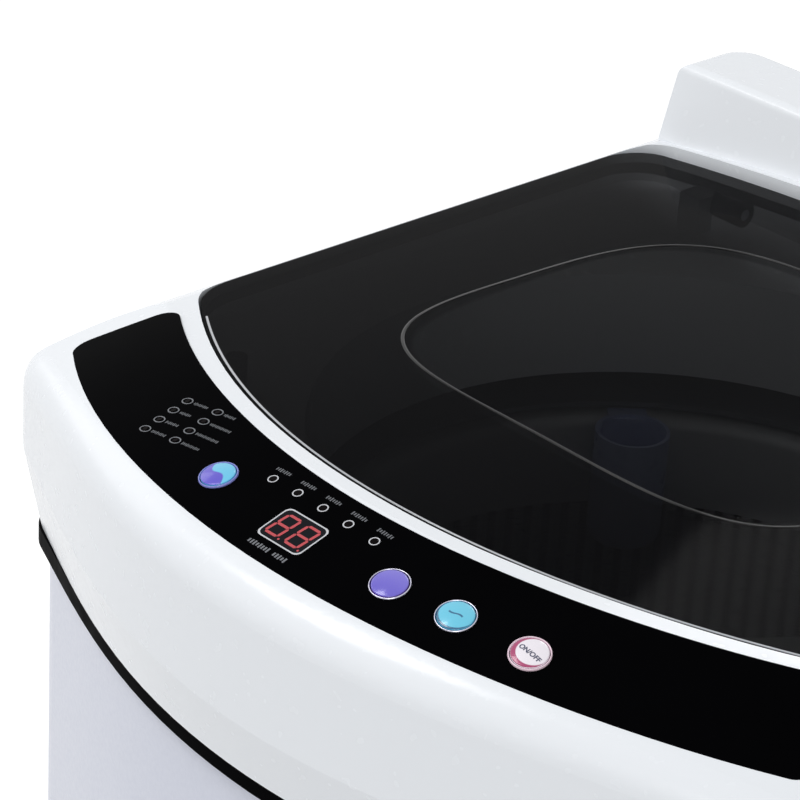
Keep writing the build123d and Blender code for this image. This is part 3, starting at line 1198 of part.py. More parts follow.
def make_basket_hub():
    """Flange under the basket's floor and the hollow spin shaft."""
    hub = rod(0, TUB_Y, BASKET_FLOOR_Z - HUB_FLANGE, HUB_FLANGE_RADIUS, HUB_FLANGE)
    hub += rod(0, TUB_Y, SPIN_SHAFT_Z, SPIN_SHAFT_RADIUS, BASKET_FLOOR_Z + BASKET_FLOOR - SPIN_SHAFT_Z)
    return hub - rod(0, TUB_Y, SPIN_SHAFT_Z - EPS, WASH_SHAFT_RADIUS + RUNNING_FIT, TOOL)


def make_pulsator():
    """Vaned disc with its wash shaft."""
    disc = rod(0, TUB_Y, PULSATOR_Z, PULSATOR_RADIUS, PULSATOR_PLATE)
    disc = fillet(disc.edges().sort_by(Axis.Z)[-1:], 2.0)
    for i in range(PULSATOR_VANES):
        vane = Pos(PULSATOR_RADIUS * 0.55, 0, PULSATOR_Z + PULSATOR_PLATE + VANE_HEIGHT / 2 - EPS) * Box(
            PULSATOR_RADIUS * 0.75, 22, VANE_HEIGHT)
        vane = fillet(vane.edges().group_by(Axis.Z)[-1], 6.0)
        disc += Pos(0, TUB_Y, 0) * Rot(0, 0, 360 / PULSATOR_VANES * i) * vane
    disc += rod(0, TUB_Y, PULSATOR_Z + PULSATOR_PLATE - EPS, 34, VANE_HEIGHT + 4)
    shaft_z = SPIN_SHAFT_Z - 4
    disc += rod(0, TUB_Y, shaft_z, WASH_SHAFT_RADIUS, PULSATOR_Z - shaft_z + EPS)
    return disc - rod(0, TUB_Y, PULSATOR_Z + PULSATOR_PLATE + VANE_HEIGHT - 8, 10, 30)


def make_pulsator_screw():
    """Hexagon screw in the pulsator's hub."""
    z = PULSATOR_Z + PULSATOR_PLATE + VANE_HEIGHT - 8
    head = extrude(RegularPolygon(6.5, 6, major_radius=False), 5)
    return Pos(0, TUB_Y, z) * head


def make_lint_filter():
    """Lint filter frame that hangs on the basket's inner wall."""
    wall = BASKET_RADIUS - BASKET_WALL
    low = RING_Z - 30 - FILTER_HEIGHT
    outer = rod(0, TUB_Y, low, wall - FREE_GAP, FILTER_HEIGHT)
    outer -= rod(0, TUB_Y, low - EPS, wall - FILTER_DEPTH, FILTER_HEIGHT + 2 * EPS)
    wedge = Pos(0, TUB_Y, 0) * Rot(0, 0, FILTER_ANGLE) * block(wall, 0, low - EPS, 80, FILTER_WIDTH,
                                                             FILTER_HEIGHT + 2 * EPS)
    window = Pos(0, TUB_Y, 0) * Rot(0, 0, FILTER_ANGLE) * block(wall - FILTER_DEPTH, 0, low + 10, 12,
                                                              FILTER_WIDTH - 16, FILTER_HEIGHT - 20)
    return keep_largest((outer & wedge) - window)


def make_softener_cup():
    """Softener cup hooked on the inside of the balance ring."""
    reach = RING_INNER_RADIUS - SOFTENER_RADIUS - FREE_GAP
    x = reach * cos(SOFTENER_ANGLE * pi / 180)
    y = TUB_Y + reach * sin(SOFTENER_ANGLE * pi / 180)
    z = RING_TOP_Z - SOFTENER_HEIGHT + 4
    cup = rod(x, y, z, SOFTENER_RADIUS, SOFTENER_HEIGHT)
    cup = fillet(cup.edges().filter_by(GeomType.CIRCLE).sort_by(Axis.Z)[:1], 8.0)
    cup -= rod(x, y, z + 4, SOFTENER_RADIUS - 1.8, SOFTENER_HEIGHT)
    hook = block(reach + SOFTENER_RADIUS + 2, 0, RING_TOP_Z + 0.1, 12, 20, 2.2)
    return cup + Pos(0, TUB_Y, 0) * Rot(0, 0, SOFTENER_ANGLE) * hook


# ---- Drive --------------------------------------------------------------------------------------
def make_drive_mount():
    """Steel plate under the tub that carries the gearbox and the motor."""
    z = TUB_FLOOR_Z - MOUNT_THICKNESS
    long_side = MOTOR_DISTANCE + 2 * GEARBOX_RADIUS + 20
    plate = block(MOTOR_DISTANCE / 2, 0, z, long_side, 2 * GEARBOX_RADIUS + 20, MOUNT_THICKNESS)
    plate = Pos(0, TUB_Y, 0) * Rot(0, 0, MOTOR_ANGLE) * plate
    return plate - rod(0, TUB_Y, z - EPS, SPIN_SHAFT_RADIUS + 8, MOUNT_THICKNESS + 2 * EPS)


def make_gearbox():
    """Reduction gear and clutch housing."""
    top = TUB_FLOOR_Z - MOUNT_THICKNESS
    case = rod(0, TUB_Y, GEARBOX_Z, GEARBOX_RADIUS - 10, top - GEARBOX_Z)
    case += rod(0, TUB_Y, GEARBOX_Z + 30, GEARBOX_RADIUS, top - GEARBOX_Z - 30)
    case -= rod(0, TUB_Y, SPIN_SHAFT_Z - 1, SPIN_SHAFT_RADIUS + RUNNING_FIT, 80)
    case -= rod(0, TUB_Y, SPIN_SHAFT_Z - 8, WASH_SHAFT_RADIUS + RUNNING_FIT, 80)
    return case - rod(0, TUB_Y, GEARBOX_Z - EPS, WASH_SHAFT_RADIUS + RUNNING_FIT, 20)


def make_pulley(x, y, radius, bore_shaft, shaft_top):
    """Grooved belt pulley with its shaft."""
    body = rod(x, y, PULLEY_Z, radius, PULLEY_WIDTH)
    groove_z = PULLEY_Z + (PULLEY_WIDTH - GROOVE_WIDTH) / 2
    body -= ring(x, y, groove_z, radius + EPS, radius - GROOVE_DEPTH, GROOVE_WIDTH)
    return body + rod(x, y, PULLEY_Z, bore_shaft, shaft_top - PULLEY_Z)


def make_clutch_pulley():
    """Large pulley on the gearbox's input shaft."""
    return make_pulley(0, TUB_Y, PULLEY_RADIUS, WASH_SHAFT_RADIUS, GEARBOX_Z + 15)


def make_motor_pulley():
    """Small pulley, motor shaft and cooling fan."""
    body = make_pulley(MOTOR_X, MOTOR_Y, MOTOR_PULLEY_RADIUS, MOTOR_SHAFT_RADIUS, MOTOR_FLOOR_Z + 30)
    return body + rod(MOTOR_X, MOTOR_Y, PULLEY_Z + PULLEY_WIDTH + 3, FAN_RADIUS, 5)


def make_drive_belt():
    """V belt round both pulleys."""
    z = PULLEY_Z + (PULLEY_WIDTH - BELT_WIDTH) / 2

    def loop(extra):
        """Plan outline round both groove floors."""
        big = PULLEY_RADIUS - GROOVE_DEPTH + extra
        small = MOTOR_PULLEY_RADIUS - GROOVE_DEPTH + extra
        circles = [Circle(big).edge(), (Pos(MOTOR_DISTANCE, 0) * Circle(small)).edge()]
        return make_hull(circles)

    band = extrude(loop(FREE_GAP + BELT_HEIGHT), BELT_WIDTH) - extrude(loop(FREE_GAP), BELT_WIDTH)
    return Pos(0, TUB_Y, z) * Rot(0, 0, MOTOR_ANGLE) * band


def make_motor():
    """Induction motor with a round body and two end shields."""
    height = MOTOR_TOP_Z - MOTOR_FLOOR_Z
    body = rod(MOTOR_X, MOTOR_Y, MOTOR_FLOOR_Z, MOTOR_RADIUS - 6, height)
    body += rod(MOTOR_X, MOTOR_Y, MOTOR_FLOOR_Z + 18, MOTOR_RADIUS, height - 50)
    return body - rod(MOTOR_X, MOTOR_Y, MOTOR_FLOOR_Z - EPS, MOTOR_SHAFT_RADIUS + RUNNING_FIT, 32)


def make_drain_valve():
    """Drain valve under the tub with an outlet to the back and a side bore for the plunger."""
    x, y = DRAIN_XY
    z = TUB_FLOOR_Z - DRAIN_VALVE_HEIGHT
    body = rod(x, y, z, DRAIN_VALVE_RADIUS, DRAIN_VALVE_HEIGHT)
    spigot_end = min(y + 92, CABINET_BACK_Y - 40)
    spigot = Pos(x, (y + spigot_end) / 2, z + 16) * Rot(90, 0, 0) * Cylinder(DRAIN_RADIUS, spigot_end - y)
    bore = Pos(x, (y + spigot_end) / 2, z + 16) * Rot(90, 0, 0) * Cylinder(DRAIN_RADIUS - 2,
                                                                         spigot_end - y + 2 * EPS)
    body = body + spigot - bore
    body -= rod(x, y, z + 16, DRAIN_RADIUS - 2, DRAIN_VALVE_HEIGHT)
    side = Pos(x - DRAIN_VALVE_RADIUS / 2 - 8, y, z + 34) * Rot(0, 90, 0) * Cylinder(
        PLUNGER_RADIUS + RUNNING_FIT, DRAIN_VALVE_RADIUS + 8)
    return body - side


def make_drain_plunger():
    """Plunger that opens the drain valve."""
    x, y = DRAIN_XY
    z = TUB_FLOOR_Z - DRAIN_VALVE_HEIGHT + 34
    return Pos(x - 12 - PLUNGER_LENGTH / 2, y, z) * Rot(0, 90, 0) * Cylinder(PLUNGER_RADIUS, PLUNGER_LENGTH)


def make_drain_motor():
    """Traction motor that pulls the plunger, screwed under the tub."""
    x, y = DRAIN_XY
    size = DRAIN_MOTOR_SIZE
    right = x - 12 - PLUNGER_LENGTH - PLUNGER_TRAVEL - 2
    return block(right - size[0] / 2, y, TUB_FLOOR_Z - size[2], *size)


# ---- Build and write ----------------------------------------------------------------------------
PARTS = {
    "cabinet": make_cabinet,
    "base": make_base,
    "fixed_feet": make_fixed_feet,
    "adjustable_foot": make_adjustable_foot,
    "foot_locknut": make_foot_locknut,
    "bottom_guard": make_bottom_guard,
    "back_cover": make_back_cover,
    "back_cover_screws": make_back_cover_screws,
    "cord_gland": make_cord_gland,
    "drain_grommet": make_drain_grommet,
    "left_handle": lambda: make_handle(-1),
    "right_handle": lambda: make_handle(1),
    "run_capacitor": make_run_capacitor,
    "trim_strip": make_trim_strip,
    "top_cover": make_top_cover,
    "lid_bumpers": make_lid_bumpers,
    "lid_hinge_pins": make_hinge_pins,
    "lid": make_lid,
    "lid_switch": make_lid_switch,
    "lid_switch_lever": make_lid_switch_lever,
    "control_panel": make_control_panel,
    "button_bezels": make_button_bezels,
    "display_window": make_display_window,
    "display_module": make_display_module,
    "indicator_lenses": make_indicator_lenses,
    "control_board": make_control_board,
    "tact_switches": make_tact_switches,
    "panel_tray": make_panel_tray,
    "rear_console": make_rear_console,
    "cover_screws": make_cover_screws,
    "inlet_valve": make_inlet_valve,
    "water_inlet_box": make_water_inlet_box,
    "detergent_drawer": make_detergent_drawer,
    "pressure_switch": make_pressure_switch,
    "corner_brackets": make_corner_brackets,
    "suspension_rods": make_suspension_rods,
    "suspension_springs": make_suspension_springs,
    "damper_cups": make_damper_cups,
    "outer_tub": make_outer_tub,
    "tub_cover": make_tub_cover,
    "basket": make_basket,
    "balance_ring": make_balance_ring,
    "basket_hub": make_basket_hub,
    "pulsator": make_pulsator,
    "pulsator_screw": make_pulsator_screw,
    "lint_filter": make_lint_filter,
    "softener_cup": make_softener_cup,
    "drive_mount": make_drive_mount,
    "gearbox": make_gearbox,
    "clutch_pulley": make_clutch_pulley,
    "motor_pulley": make_motor_pulley,
    "drive_belt": make_drive_belt,
    "motor": make_motor,
    "drain_valve": make_drain_valve,
    "drain_plunger": make_drain_plunger,
    "drain_motor": make_drain_motor,
}
for button_name, button_plane in BUTTON_PLANES.items():
    PARTS[button_name] = lambda plane=button_plane: make_button(plane)

os.makedirs("parts", exist_ok=True)
for name, make in PARTS.items():
    shape = make()
    if isinstance(shape, (list, ShapeList)):
        shape = Compound(children=[piece.solid() for piece in shape])
    export_step(shape, f"parts/{name}.step")
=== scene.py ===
"""Looks of the top load washing machine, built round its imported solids. Metres, +Z up."""

import logging
from dataclasses import dataclass
from enum import Enum
from functools import partial
from math import pi, sqrt
from typing import Any, Optional, Sequence

import bpy
import numpy as np
from mathutils import Matrix, Vector


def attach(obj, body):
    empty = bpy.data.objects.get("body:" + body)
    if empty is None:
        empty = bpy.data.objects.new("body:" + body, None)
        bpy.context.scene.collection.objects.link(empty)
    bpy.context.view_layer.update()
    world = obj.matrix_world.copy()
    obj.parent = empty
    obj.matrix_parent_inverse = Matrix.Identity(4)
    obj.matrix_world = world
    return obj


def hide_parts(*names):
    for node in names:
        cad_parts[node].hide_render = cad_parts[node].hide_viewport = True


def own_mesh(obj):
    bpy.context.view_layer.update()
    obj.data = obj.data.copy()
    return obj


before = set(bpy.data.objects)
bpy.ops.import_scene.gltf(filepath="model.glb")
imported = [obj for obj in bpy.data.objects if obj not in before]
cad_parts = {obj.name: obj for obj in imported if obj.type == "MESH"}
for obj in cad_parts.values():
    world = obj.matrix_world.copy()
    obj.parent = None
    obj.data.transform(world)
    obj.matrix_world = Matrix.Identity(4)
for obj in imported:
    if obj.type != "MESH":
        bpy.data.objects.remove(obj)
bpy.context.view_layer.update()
LOG = logging.getLogger("washing_machine")

CABINET = "cabinet_body"
MM = 0.001
WHITE = (1.0, 1.0, 1.0, 1.0)
NOISE_SPAN = (0.3, 0.7)  # nearly all of a noise's values lie between these
LID_WINDOW_HALF = (0.124, 0.112)
LID_WINDOW_Y = 0.012
DRUM_FLUTES = 120


# ---- Colour and node helpers ----
def linear(code: str) -> tuple[float, float, float, float]:
    """Turns an sRGB hex code into linear red, green and blue, with alpha 1."""
    parts = [int(code[i:i + 2], 16) / 255 for i in (1, 3, 5)]
    red, green, blue = [c / 12.92 if c <= 0.04045 else ((c + 0.055) / 1.055) ** 2.4 for c in parts]
    return red, green, blue, 1.0


def add_node(tree: Any, kind: str, inputs: Optional[dict] = None, **settings: Any) -> Any:
    """Adds one shader node and gives it back.

    Args:
        tree: the material's or world's node tree.
        kind: the node's type name after "ShaderNode".
        inputs: socket name or index to a value, or to the output socket that feeds it.
        settings: attributes of the node.
    """
    node = tree.nodes.new("ShaderNode" + kind)
    for name, value in settings.items():
        setattr(node, name, value)
    for name, value in (inputs or {}).items():
        if isinstance(value, bpy.types.NodeSocket):
            tree.links.new(value, node.inputs[name])
        else:
            node.inputs[name].default_value = value
    return node


def principled(tree: Any, inputs: dict) -> Any:
    """Adds the usual surface shader with these inputs, and the material's output."""
    shader = add_node(tree, "BsdfPrincipled", inputs)
    add_node(tree, "OutputMaterial", {"Surface": shader.outputs[0]})
    return shader


def maths(tree: Any, operation: str, *values: Any) -> Any:
    """One sum on numbers or sockets, as an output socket."""
    return add_node(tree, "Math", dict(enumerate(values)), operation=operation).outputs[0]


def soft_step(tree: Any, value: Any, start: float, end: float, low: float = 0.0,
              high: float = 1.0, kind: str = "SMOOTHSTEP") -> Any:
    """Step from low at start to high at end, soft or of another kind, as an output socket."""
    return add_node(tree, "MapRange", {
        "Value": value, "From Min": start, "From Max": end, "To Min": low, "To Max": high},
        interpolation_type=kind).outputs[0]


def spread(tree: Any, height: Any, low: float, high: float) -> Any:
    """Spreads a noise's usual span evenly from low to high, as an output socket."""
    return soft_step(tree, height, *NOISE_SPAN, low, high, "LINEAR")


def mix_colours(tree: Any, share: Any, low: Any, high: Any) -> Any:
    """Mixes two linear colours or sockets, low at share 0 and high at share 1."""
    return add_node(tree, "Mix", {0: share, 6: low, 7: high}, data_type="RGBA").outputs[2]


def object_place(tree: Any, stretch: float = 1.0) -> Any:
    """Object coordinates in metres, squeezed along Z where a pattern is drawn out round it."""
    place = add_node(tree, "TexCoord").outputs["Object"]
    if stretch == 1.0:
        return place
    return add_node(tree, "Mapping", {"Vector": place, "Scale": (1.0, 1.0, stretch)}).outputs[0]


def noise(tree: Any, place: Any, scale: float, detail: float, roughness: float = 0.5) -> Any:
    """Height of a noise between 0 and 1, as an output socket."""
    return add_node(tree, "TexNoise", {"Vector": place, "Scale": scale, "Detail": detail,
                                       "Roughness": roughness}).outputs["Fac"]


def bump(tree: Any, height: Any, relief: float) -> Any:
    """Normals of a relief that is so many metres high, as an output socket."""
    return add_node(tree, "Bump", {"Height": height, "Distance": relief}).outputs[0]


def fresh_tree(owner: Any) -> Any:
    """Empty node tree of a material or a world."""
    owner.use_nodes = True
    owner.node_tree.nodes.clear()
    return owner.node_tree


def put(name: str, data: Any) -> bpy.types.Object:
    """Puts a new object with this data in the scene."""
    placed = bpy.data.objects.new(name, data)
    bpy.context.scene.collection.objects.link(placed)
    return placed


# ---- Finishes ----
class Grain(Enum):
    """How a surface was made, which decides its fine relief and colour change."""
    MOULDED = "moulded"          # polished or eroded tool: soft, low waves
    ORANGE_PEEL = "orange peel"  # gloss skin or stoved paint
    BRUSHED = "brushed"          # rolled or brushed sheet: fine lines round the axis
    SPANGLE = "spangle"          # hot-dip zinc crystals
    CAST = "cast"                # die-cast skin
    RUBBER = "rubber"            # dull, powdery skin
    BOARD = "board"              # solder mask over copper tracks


# Octaves of noise above the first, for the grains that are noise.
GRAIN_DETAIL = {Grain.MOULDED: 2.0, Grain.ORANGE_PEEL: 1.0, Grain.CAST: 5.0, Grain.RUBBER: 6.0}
BRUSH_STRETCH = 24.0  # how much longer than high a brushed line is
ROUGH_SWING = 0.15    # share of the roughness that the pattern adds or takes away


@dataclass(frozen=True)
class Shading:
    """Any finish of the machine: a named node material."""
    name: str

    def shade(self, tree: Any) -> None:
        """Fills the node tree. Each kind of finish has its own way."""
        raise NotImplementedError

    def build(self) -> bpy.types.Material:
        """Makes the material."""
        material = bpy.data.materials.new(self.name)
        self.shade(fresh_tree(material))
        return material


@dataclass(frozen=True)
class Finish(Shading):
    """One material: its colour and how its surface was made.

    grain_mm is the pattern's real size, relief_mm its height, and tint the second colour that the
    pattern leans to by the share `change`. The roughness wanders by `ROUGH_SWING` either way.
    """
    colour: str
    tint: str
    roughness: float
    grain_mm: float
    relief_mm: float
    change: float = 0.3
    grain: Grain = Grain.MOULDED
    metallic: float = 0.0
    ior: float = 1.5
    specular: float = 0.5
    glow: float = 0.0

    def pattern(self, tree: Any) -> Any:
        """The grain's height between 0 and 1, as an output socket."""
        scale = 1.0 / (self.grain_mm * MM)
        if self.grain is Grain.BRUSHED:
            return noise(tree, object_place(tree, BRUSH_STRETCH), scale / BRUSH_STRETCH,
                         detail=4.0, roughness=0.6)
        place = object_place(tree)
        if self.grain is Grain.SPANGLE:
            return add_node(tree, "TexVoronoi", {"Vector": place, "Scale": scale},
                            feature="F1").outputs["Color"]
        if self.grain is Grain.BOARD:
            return add_node(tree, "TexBrick", {
                "Vector": place, "Scale": scale, "Mortar Size": 0.08, "Color1": (0, 0, 0, 1),
                "Color2": (0.35, 0.35, 0.35, 1), "Mortar": WHITE},
                offset=0.37, squash=0.6).outputs["Color"]
        return noise(tree, place, scale, GRAIN_DETAIL[self.grain])

    def shade(self, tree: Any) -> None:
        """Pattern in colour, roughness and relief; one colour where the tint is that colour."""
        height = self.pattern(tree)
        colour: Any = linear(self.colour)
        if self.tint != self.colour:
            share = spread(tree, height, 0.0, self.change)
            colour = mix_colours(tree, share, colour, linear(self.tint))
        rough = spread(tree, height, self.roughness * (1 - ROUGH_SWING),
                       min(1.0, self.roughness * (1 + ROUGH_SWING)))
        shader = principled(tree, {
            "Base Color": colour, "Roughness": rough, "Metallic": self.metallic, "IOR": self.ior,
            "Specular IOR Level": self.specular, "Normal": bump(tree, height, self.relief_mm * MM)})
        if self.glow > 0:
            shader.inputs["Emission Color"].default_value = linear(self.colour)
            shader.inputs["Emission Strength"].default_value = self.glow


class CapArt(Enum):
    """Plain generic pattern moulded or printed on a button's cap."""
    PLAIN = "plain"        # one colour, a little paler to the back
    TWO_SHOT = "two shot"  # two colours that meet in an S
    STROKE = "stroke"      # one colour with a dark wave stroke and a dark rim below
    CRESCENT = "crescent"  # pale, with a coloured crescent along the left rim


@dataclass(frozen=True)
class CapFinish(Shading):
    """Moulded ABS cap under clear lacquer, with its pattern laid out on the cap's own disc map."""
    low: str
    high: str
    art: CapArt

    def share(self, tree: Any, side: Any, back: Any) -> Any:
        """How much of the high colour shows at (side, back) on a disc of radius 1, as a socket."""
        sums = partial(maths, tree)
        if self.art is CapArt.PLAIN:
            return soft_step(tree, back, -1.4, 1.4)
        if self.art is CapArt.TWO_SHOT:
            # the seam: back = 0.25 side - 1.3 side cubed
            cube = sums("MULTIPLY", sums("MULTIPLY", side, side), side)
            seam = sums("MULTIPLY_ADD", cube, 1.3, sums("MULTIPLY_ADD", side, -0.25, back))
            return soft_step(tree, seam, -0.06, 0.06)
        squares = sums("ADD", sums("MULTIPLY", side, side), sums("MULTIPLY", back, back))
        rim = sums("POWER", squares, 0.5)
        if self.art is CapArt.STROKE:
            # a sine stroke across the middle, and a crescent outside a circle moved to the back
            wave = sums("MULTIPLY", sums("SINE", sums("MULTIPLY", side, 5.2)), 0.10)
            away = sums("ABSOLUTE", sums("SUBTRACT", back, wave))
            near = soft_step(tree, away, 0.03, 0.08)
            beyond = soft_step(tree, sums("ABSOLUTE", side), 0.38, 0.46)
            crescent = soft_step(tree, sums("MULTIPLY_ADD", back, -0.14, rim), 0.97, 1.02)
            return sums("SUBTRACT", sums("MAXIMUM", near, beyond), crescent)
        # a crescent outside a circle moved to the back and the right
        lean = sums("MULTIPLY_ADD", sums("ADD", side, back), -0.13, rim)
        return sums("SUBTRACT", 1.0, soft_step(tree, lean, 0.84, 0.90))

    def shade(self, tree: Any) -> None:
        """Two colours by the cap's own UV map, where the disc spans 0 to 1."""
        disc = add_node(tree, "UVMap", uv_map="disc").outputs[0]
        centred = add_node(tree, "Mapping", {
            "Vector": disc, "Location": (-1.0, -1.0, 0.0), "Scale": (2.0, 2.0, 1.0)})
        place = add_node(tree, "SeparateXYZ", {"Vector": centred.outputs[0]})
        share = self.share(tree, place.outputs[0], place.outputs[1])
        waves = noise(tree, object_place(tree), scale=250.0, detail=2.0)
        principled(tree, {
            "Base Color": mix_colours(tree, share, linear(self.low), linear(self.high)),
            "Roughness": 0.20, "IOR": 1.52, "Coat Weight": 0.4, "Coat Roughness": 0.05,
            "Normal": bump(tree, waves, relief=0.01 * MM)})


@dataclass(frozen=True)
class LidFinish(Shading):
    """Smoked acrylic with a clearer middle: darker where |x/a|^n + |y/b|^n is over 1."""
    colour: str = "#09090B"
    clear: float = 0.54
    border: float = 0.75
    squareness: float = 3.5

    def shade(self, tree: Any) -> None:
        """One colour, with its clearness laid out on the lid's own coordinates."""
        place = object_place(tree)
        half_x, half_y = LID_WINDOW_HALF
        scaled = add_node(tree, "Mapping", {
            "Vector": place, "Location": (0.0, -LID_WINDOW_Y / half_y, 0.0),
            "Scale": (1 / half_x, 1 / half_y, 1.0)})
        split = add_node(tree, "SeparateXYZ", {"Vector": scaled.outputs[0]})
        powers = [maths(tree, "POWER", maths(tree, "ABSOLUTE", split.outputs[axis]),
                        self.squareness) for axis in (0, 1)]
        smoke = soft_step(tree, maths(tree, "ADD", *powers), start=0.94, end=1.06,
                          low=self.clear, high=self.border)
        principled(tree, {
            "Base Color": linear(self.colour), "Roughness": 0.07, "IOR": 1.49,
            "Specular IOR Level": 0.008, "Alpha": smoke,
            "Normal": bump(tree, noise(tree, place, scale=20.0, detail=1.0), relief=0.003 * MM)})


@dataclass(frozen=True)
class DrumFinish(Shading):
    """Ferritic stainless strip, rolled, pierced and fluted: bright on the crests, with painted
    shade in the flutes' valleys and in the round holes.
    """
    name: str = "stainless_drum_strip"
    crest: str = "#C3C6CB"
    # The valley colour is painted shade in the flutes' hollows, and the hole colour is painted
    # shade of the gap behind the wall.
    valley_shade: str = "#3C3F44"
    hole_shade: str = "#101114"
    around: float = 60.0
    up: float = 22.0

    def shade(self, tree: Any) -> None:
        """Painted shade darkens the valleys and the holes; holes stand in whole pitches of the
        drum's UV map.
        """
        drum = add_node(tree, "UVMap", uv_map="drum").outputs[0]
        reach = drum
        for operation, amount in (("MULTIPLY", (self.around, self.up, 0.0)), ("FRACTION", None),
                                  ("SUBTRACT", (0.5, 0.5, 0.0)), ("LENGTH", None)):
            inputs = {0: reach} if amount is None else {0: reach, 1: amount}
            step = add_node(tree, "VectorMath", inputs, operation=operation)
            reach = step.outputs["Value" if operation == "LENGTH" else "Vector"]
        solid = soft_step(tree, reach, start=0.10, end=0.14)
        split = add_node(tree, "SeparateXYZ", {"Vector": drum})
        turn = maths(tree, "MULTIPLY", split.outputs[0], 2 * pi * DRUM_FLUTES)
        # Painted shade: the flutes' hollows, at the full radius, take the valley colour.
        shade = soft_step(tree, maths(tree, "COSINE", turn), start=0.8, end=-0.6)
        sheet = mix_colours(tree, shade, linear(self.valley_shade), linear(self.crest))
        lines = noise(tree, object_place(tree, stretch=30.0), scale=60.0, detail=4.0)
        principled(tree, {
            "Base Color": mix_colours(tree, solid, linear(self.hole_shade), sheet), "Metallic": 1.0,
            "Roughness": spread(tree, lines, low=0.24, high=0.36),
            "Normal": bump(tree, solid, relief=0.8 * MM)})


# ---- Mesh helpers ----
Material = bpy.types.Material
Mesh = tuple[np.ndarray, np.ndarray]  # points and faces
Places = Sequence[tuple[float, float]]  # (x, setback) of each
Dashes = list[tuple[float, float, float, float]]  # (x, setback, length, height) of each


def mount(mesh: bpy.types.Mesh, body: str) -> bpy.types.Object:
    """Puts a finished mesh in the scene under its own name, to ride on a body."""
    piece = put(mesh.name, mesh)
    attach(piece, body)
    LOG.info("piece %s: %d faces on %s", piece.name, len(mesh.polygons), body)
    return piece


def make_piece(name: str, points: np.ndarray, faces: np.ndarray, material: Material, body: str,
               slot: Optional[str] = None, smooth: bool = True) -> bpy.types.Object:
    """Puts arrays into a mesh object that rides on a body.

    Args:
        name: the piece's name.
        points: vertices, one row each, in metres.
        faces: one row of vertex numbers each.
        material: its finish.
        body: CAD body that it moves with.
        slot: not used.
        smooth: smooth shading.
    """
    mesh = bpy.data.meshes.new(name)
    mesh.from_pydata(points.reshape(-1, 3).tolist(), [], faces.tolist())
    mesh.polygons.foreach_set("use_smooth", np.full(len(mesh.polygons), smooth))
    mesh.materials.append(material)
    mesh.update()
    return mount(mesh, body)


def add_map(piece: bpy.types.Object, name: str, places: np.ndarray) -> None:
    """Gives a mesh object its own UV map, with one (u, v) place for each vertex."""
    layer = piece.data.uv_layers.new(name=name)
    corner = np.zeros(len(piece.data.loops), dtype=np.int32)
    piece.data.loops.foreach_get("vertex_index", corner)
    layer.data.foreach_set("uv", places[corner].astype(np.float32).ravel())


def join(parts: Sequence[Mesh]) -> Mesh:
    """Joins meshes into one: points in a row, with their faces renumbered."""
    starts = np.cumsum([0] + [len(points) for points, _ in parts[:-1]])
    return (np.concatenate([points for points, _ in parts]),
            np.concatenate([faces + start for (_, faces), start in zip(parts, starts)]))


def grid_faces(rows: int, columns: int, wrap: bool = False) -> np.ndarray:
    """Quads of a rows by columns grid of vertices.

    Args:
        rows: number of vertex rows.
        columns: number of vertices in each row.
        wrap: whether the last column joins the first.
    """
    row, column = np.meshgrid(np.arange(rows - 1), np.arange(columns if wrap else columns - 1),
                              indexing="ij")
    right = (column + 1) % columns
    quads = np.stack([row * columns + column, row * columns + right,
                      (row + 1) * columns + right, (row + 1) * columns + column], axis=-1)
    return quads.reshape(-1, 4)


def unit(rows: np.ndarray) -> np.ndarray:
    """The same directions at length 1."""
    return rows / np.linalg.norm(rows, axis=-1, keepdims=True)


def around(steps: int) -> np.ndarray:
    """Angles of a full turn in even steps, from 0."""
    return np.linspace(0, 2 * pi, steps, endpoint=False)


def lathe(profile: np.ndarray, steps: int) -> Mesh:
    """A profile of (radius, height) turned round Z: x = r cos t, y = r sin t, z = height.

    Args:
        profile: rows of radius and height, anticlockwise as seen with the axis on the left.
        steps: number of steps round.
    """
    turn = around(steps)
    radius, height = profile[:, :1], profile[:, 1:]
    points = np.stack([radius * np.cos(turn), radius * np.sin(turn),
                       np.broadcast_to(height, (len(profile), steps))], axis=-1)
    return points.reshape(-1, 3), grid_faces(len(profile), steps, wrap=True)


# ---- Panel surface ----
@dataclass
class PanelSurface:
    """The control panel's surface: it slopes to the front and falls to both sides."""
    front_y: float = -0.268
    datum_y: float = -0.222
    datum_z: float = 0.872
    slope: float = 0.269
    slope_radius: float = 1.841
    side_radius: float = 0.742

    def turning_radius(self, run: Any) -> Any:
        """Radius of the turned surface: R + s run - run squared / 2 r, behind the datum."""
        return self.side_radius + self.slope * run - run ** 2 / (2 * self.slope_radius)

    def height(self, x: np.ndarray, y: np.ndarray) -> np.ndarray:
        """Height above the floor: a parabola front to back, turned round a low axis."""
        radius = self.turning_radius(y - self.datum_y)
        return self.datum_z - self.side_radius + np.sqrt(radius ** 2 - x ** 2)

    def frame(self, x: float, setback: float) -> tuple[np.ndarray, ...]:
        """Origin, side axis, back axis and outward normal of the tangent plane.

        Args:
            x: place across.
            setback: distance behind the machine's front.
        """
        y = self.front_y + setback
        run = y - self.datum_y
        radius = self.turning_radius(run)
        rise = sqrt(radius ** 2 - x ** 2)
        slope_y = (self.slope - run / self.slope_radius) * radius / rise
        normal = unit(np.array([x / rise, -slope_y, 1.0]))
        side = unit(np.array([1.0, 0.0, -x / rise]))
        origin = np.array([x, y, float(self.height(np.array(x), np.array(y)))])
        return origin, side, np.cross(normal, side), normal

    def lay(self, x: float, setback: float, flat: np.ndarray, lift: float) -> np.ndarray:
        """Lays flat outline points on the surface, in the row frame.

        Args:
            x: middle of the figure across.
            setback: its middle behind the front.
            flat: points (side, back) in metres.
            lift: height above the surface.
        """
        origin, side, back, normal = self.frame(x, setback)
        points = origin + flat[..., :1] * side + flat[..., 1:] * back
        points[..., 2] = self.height(points[..., 0], points[..., 1])
        return points + normal * lift


PANEL = PanelSurface()


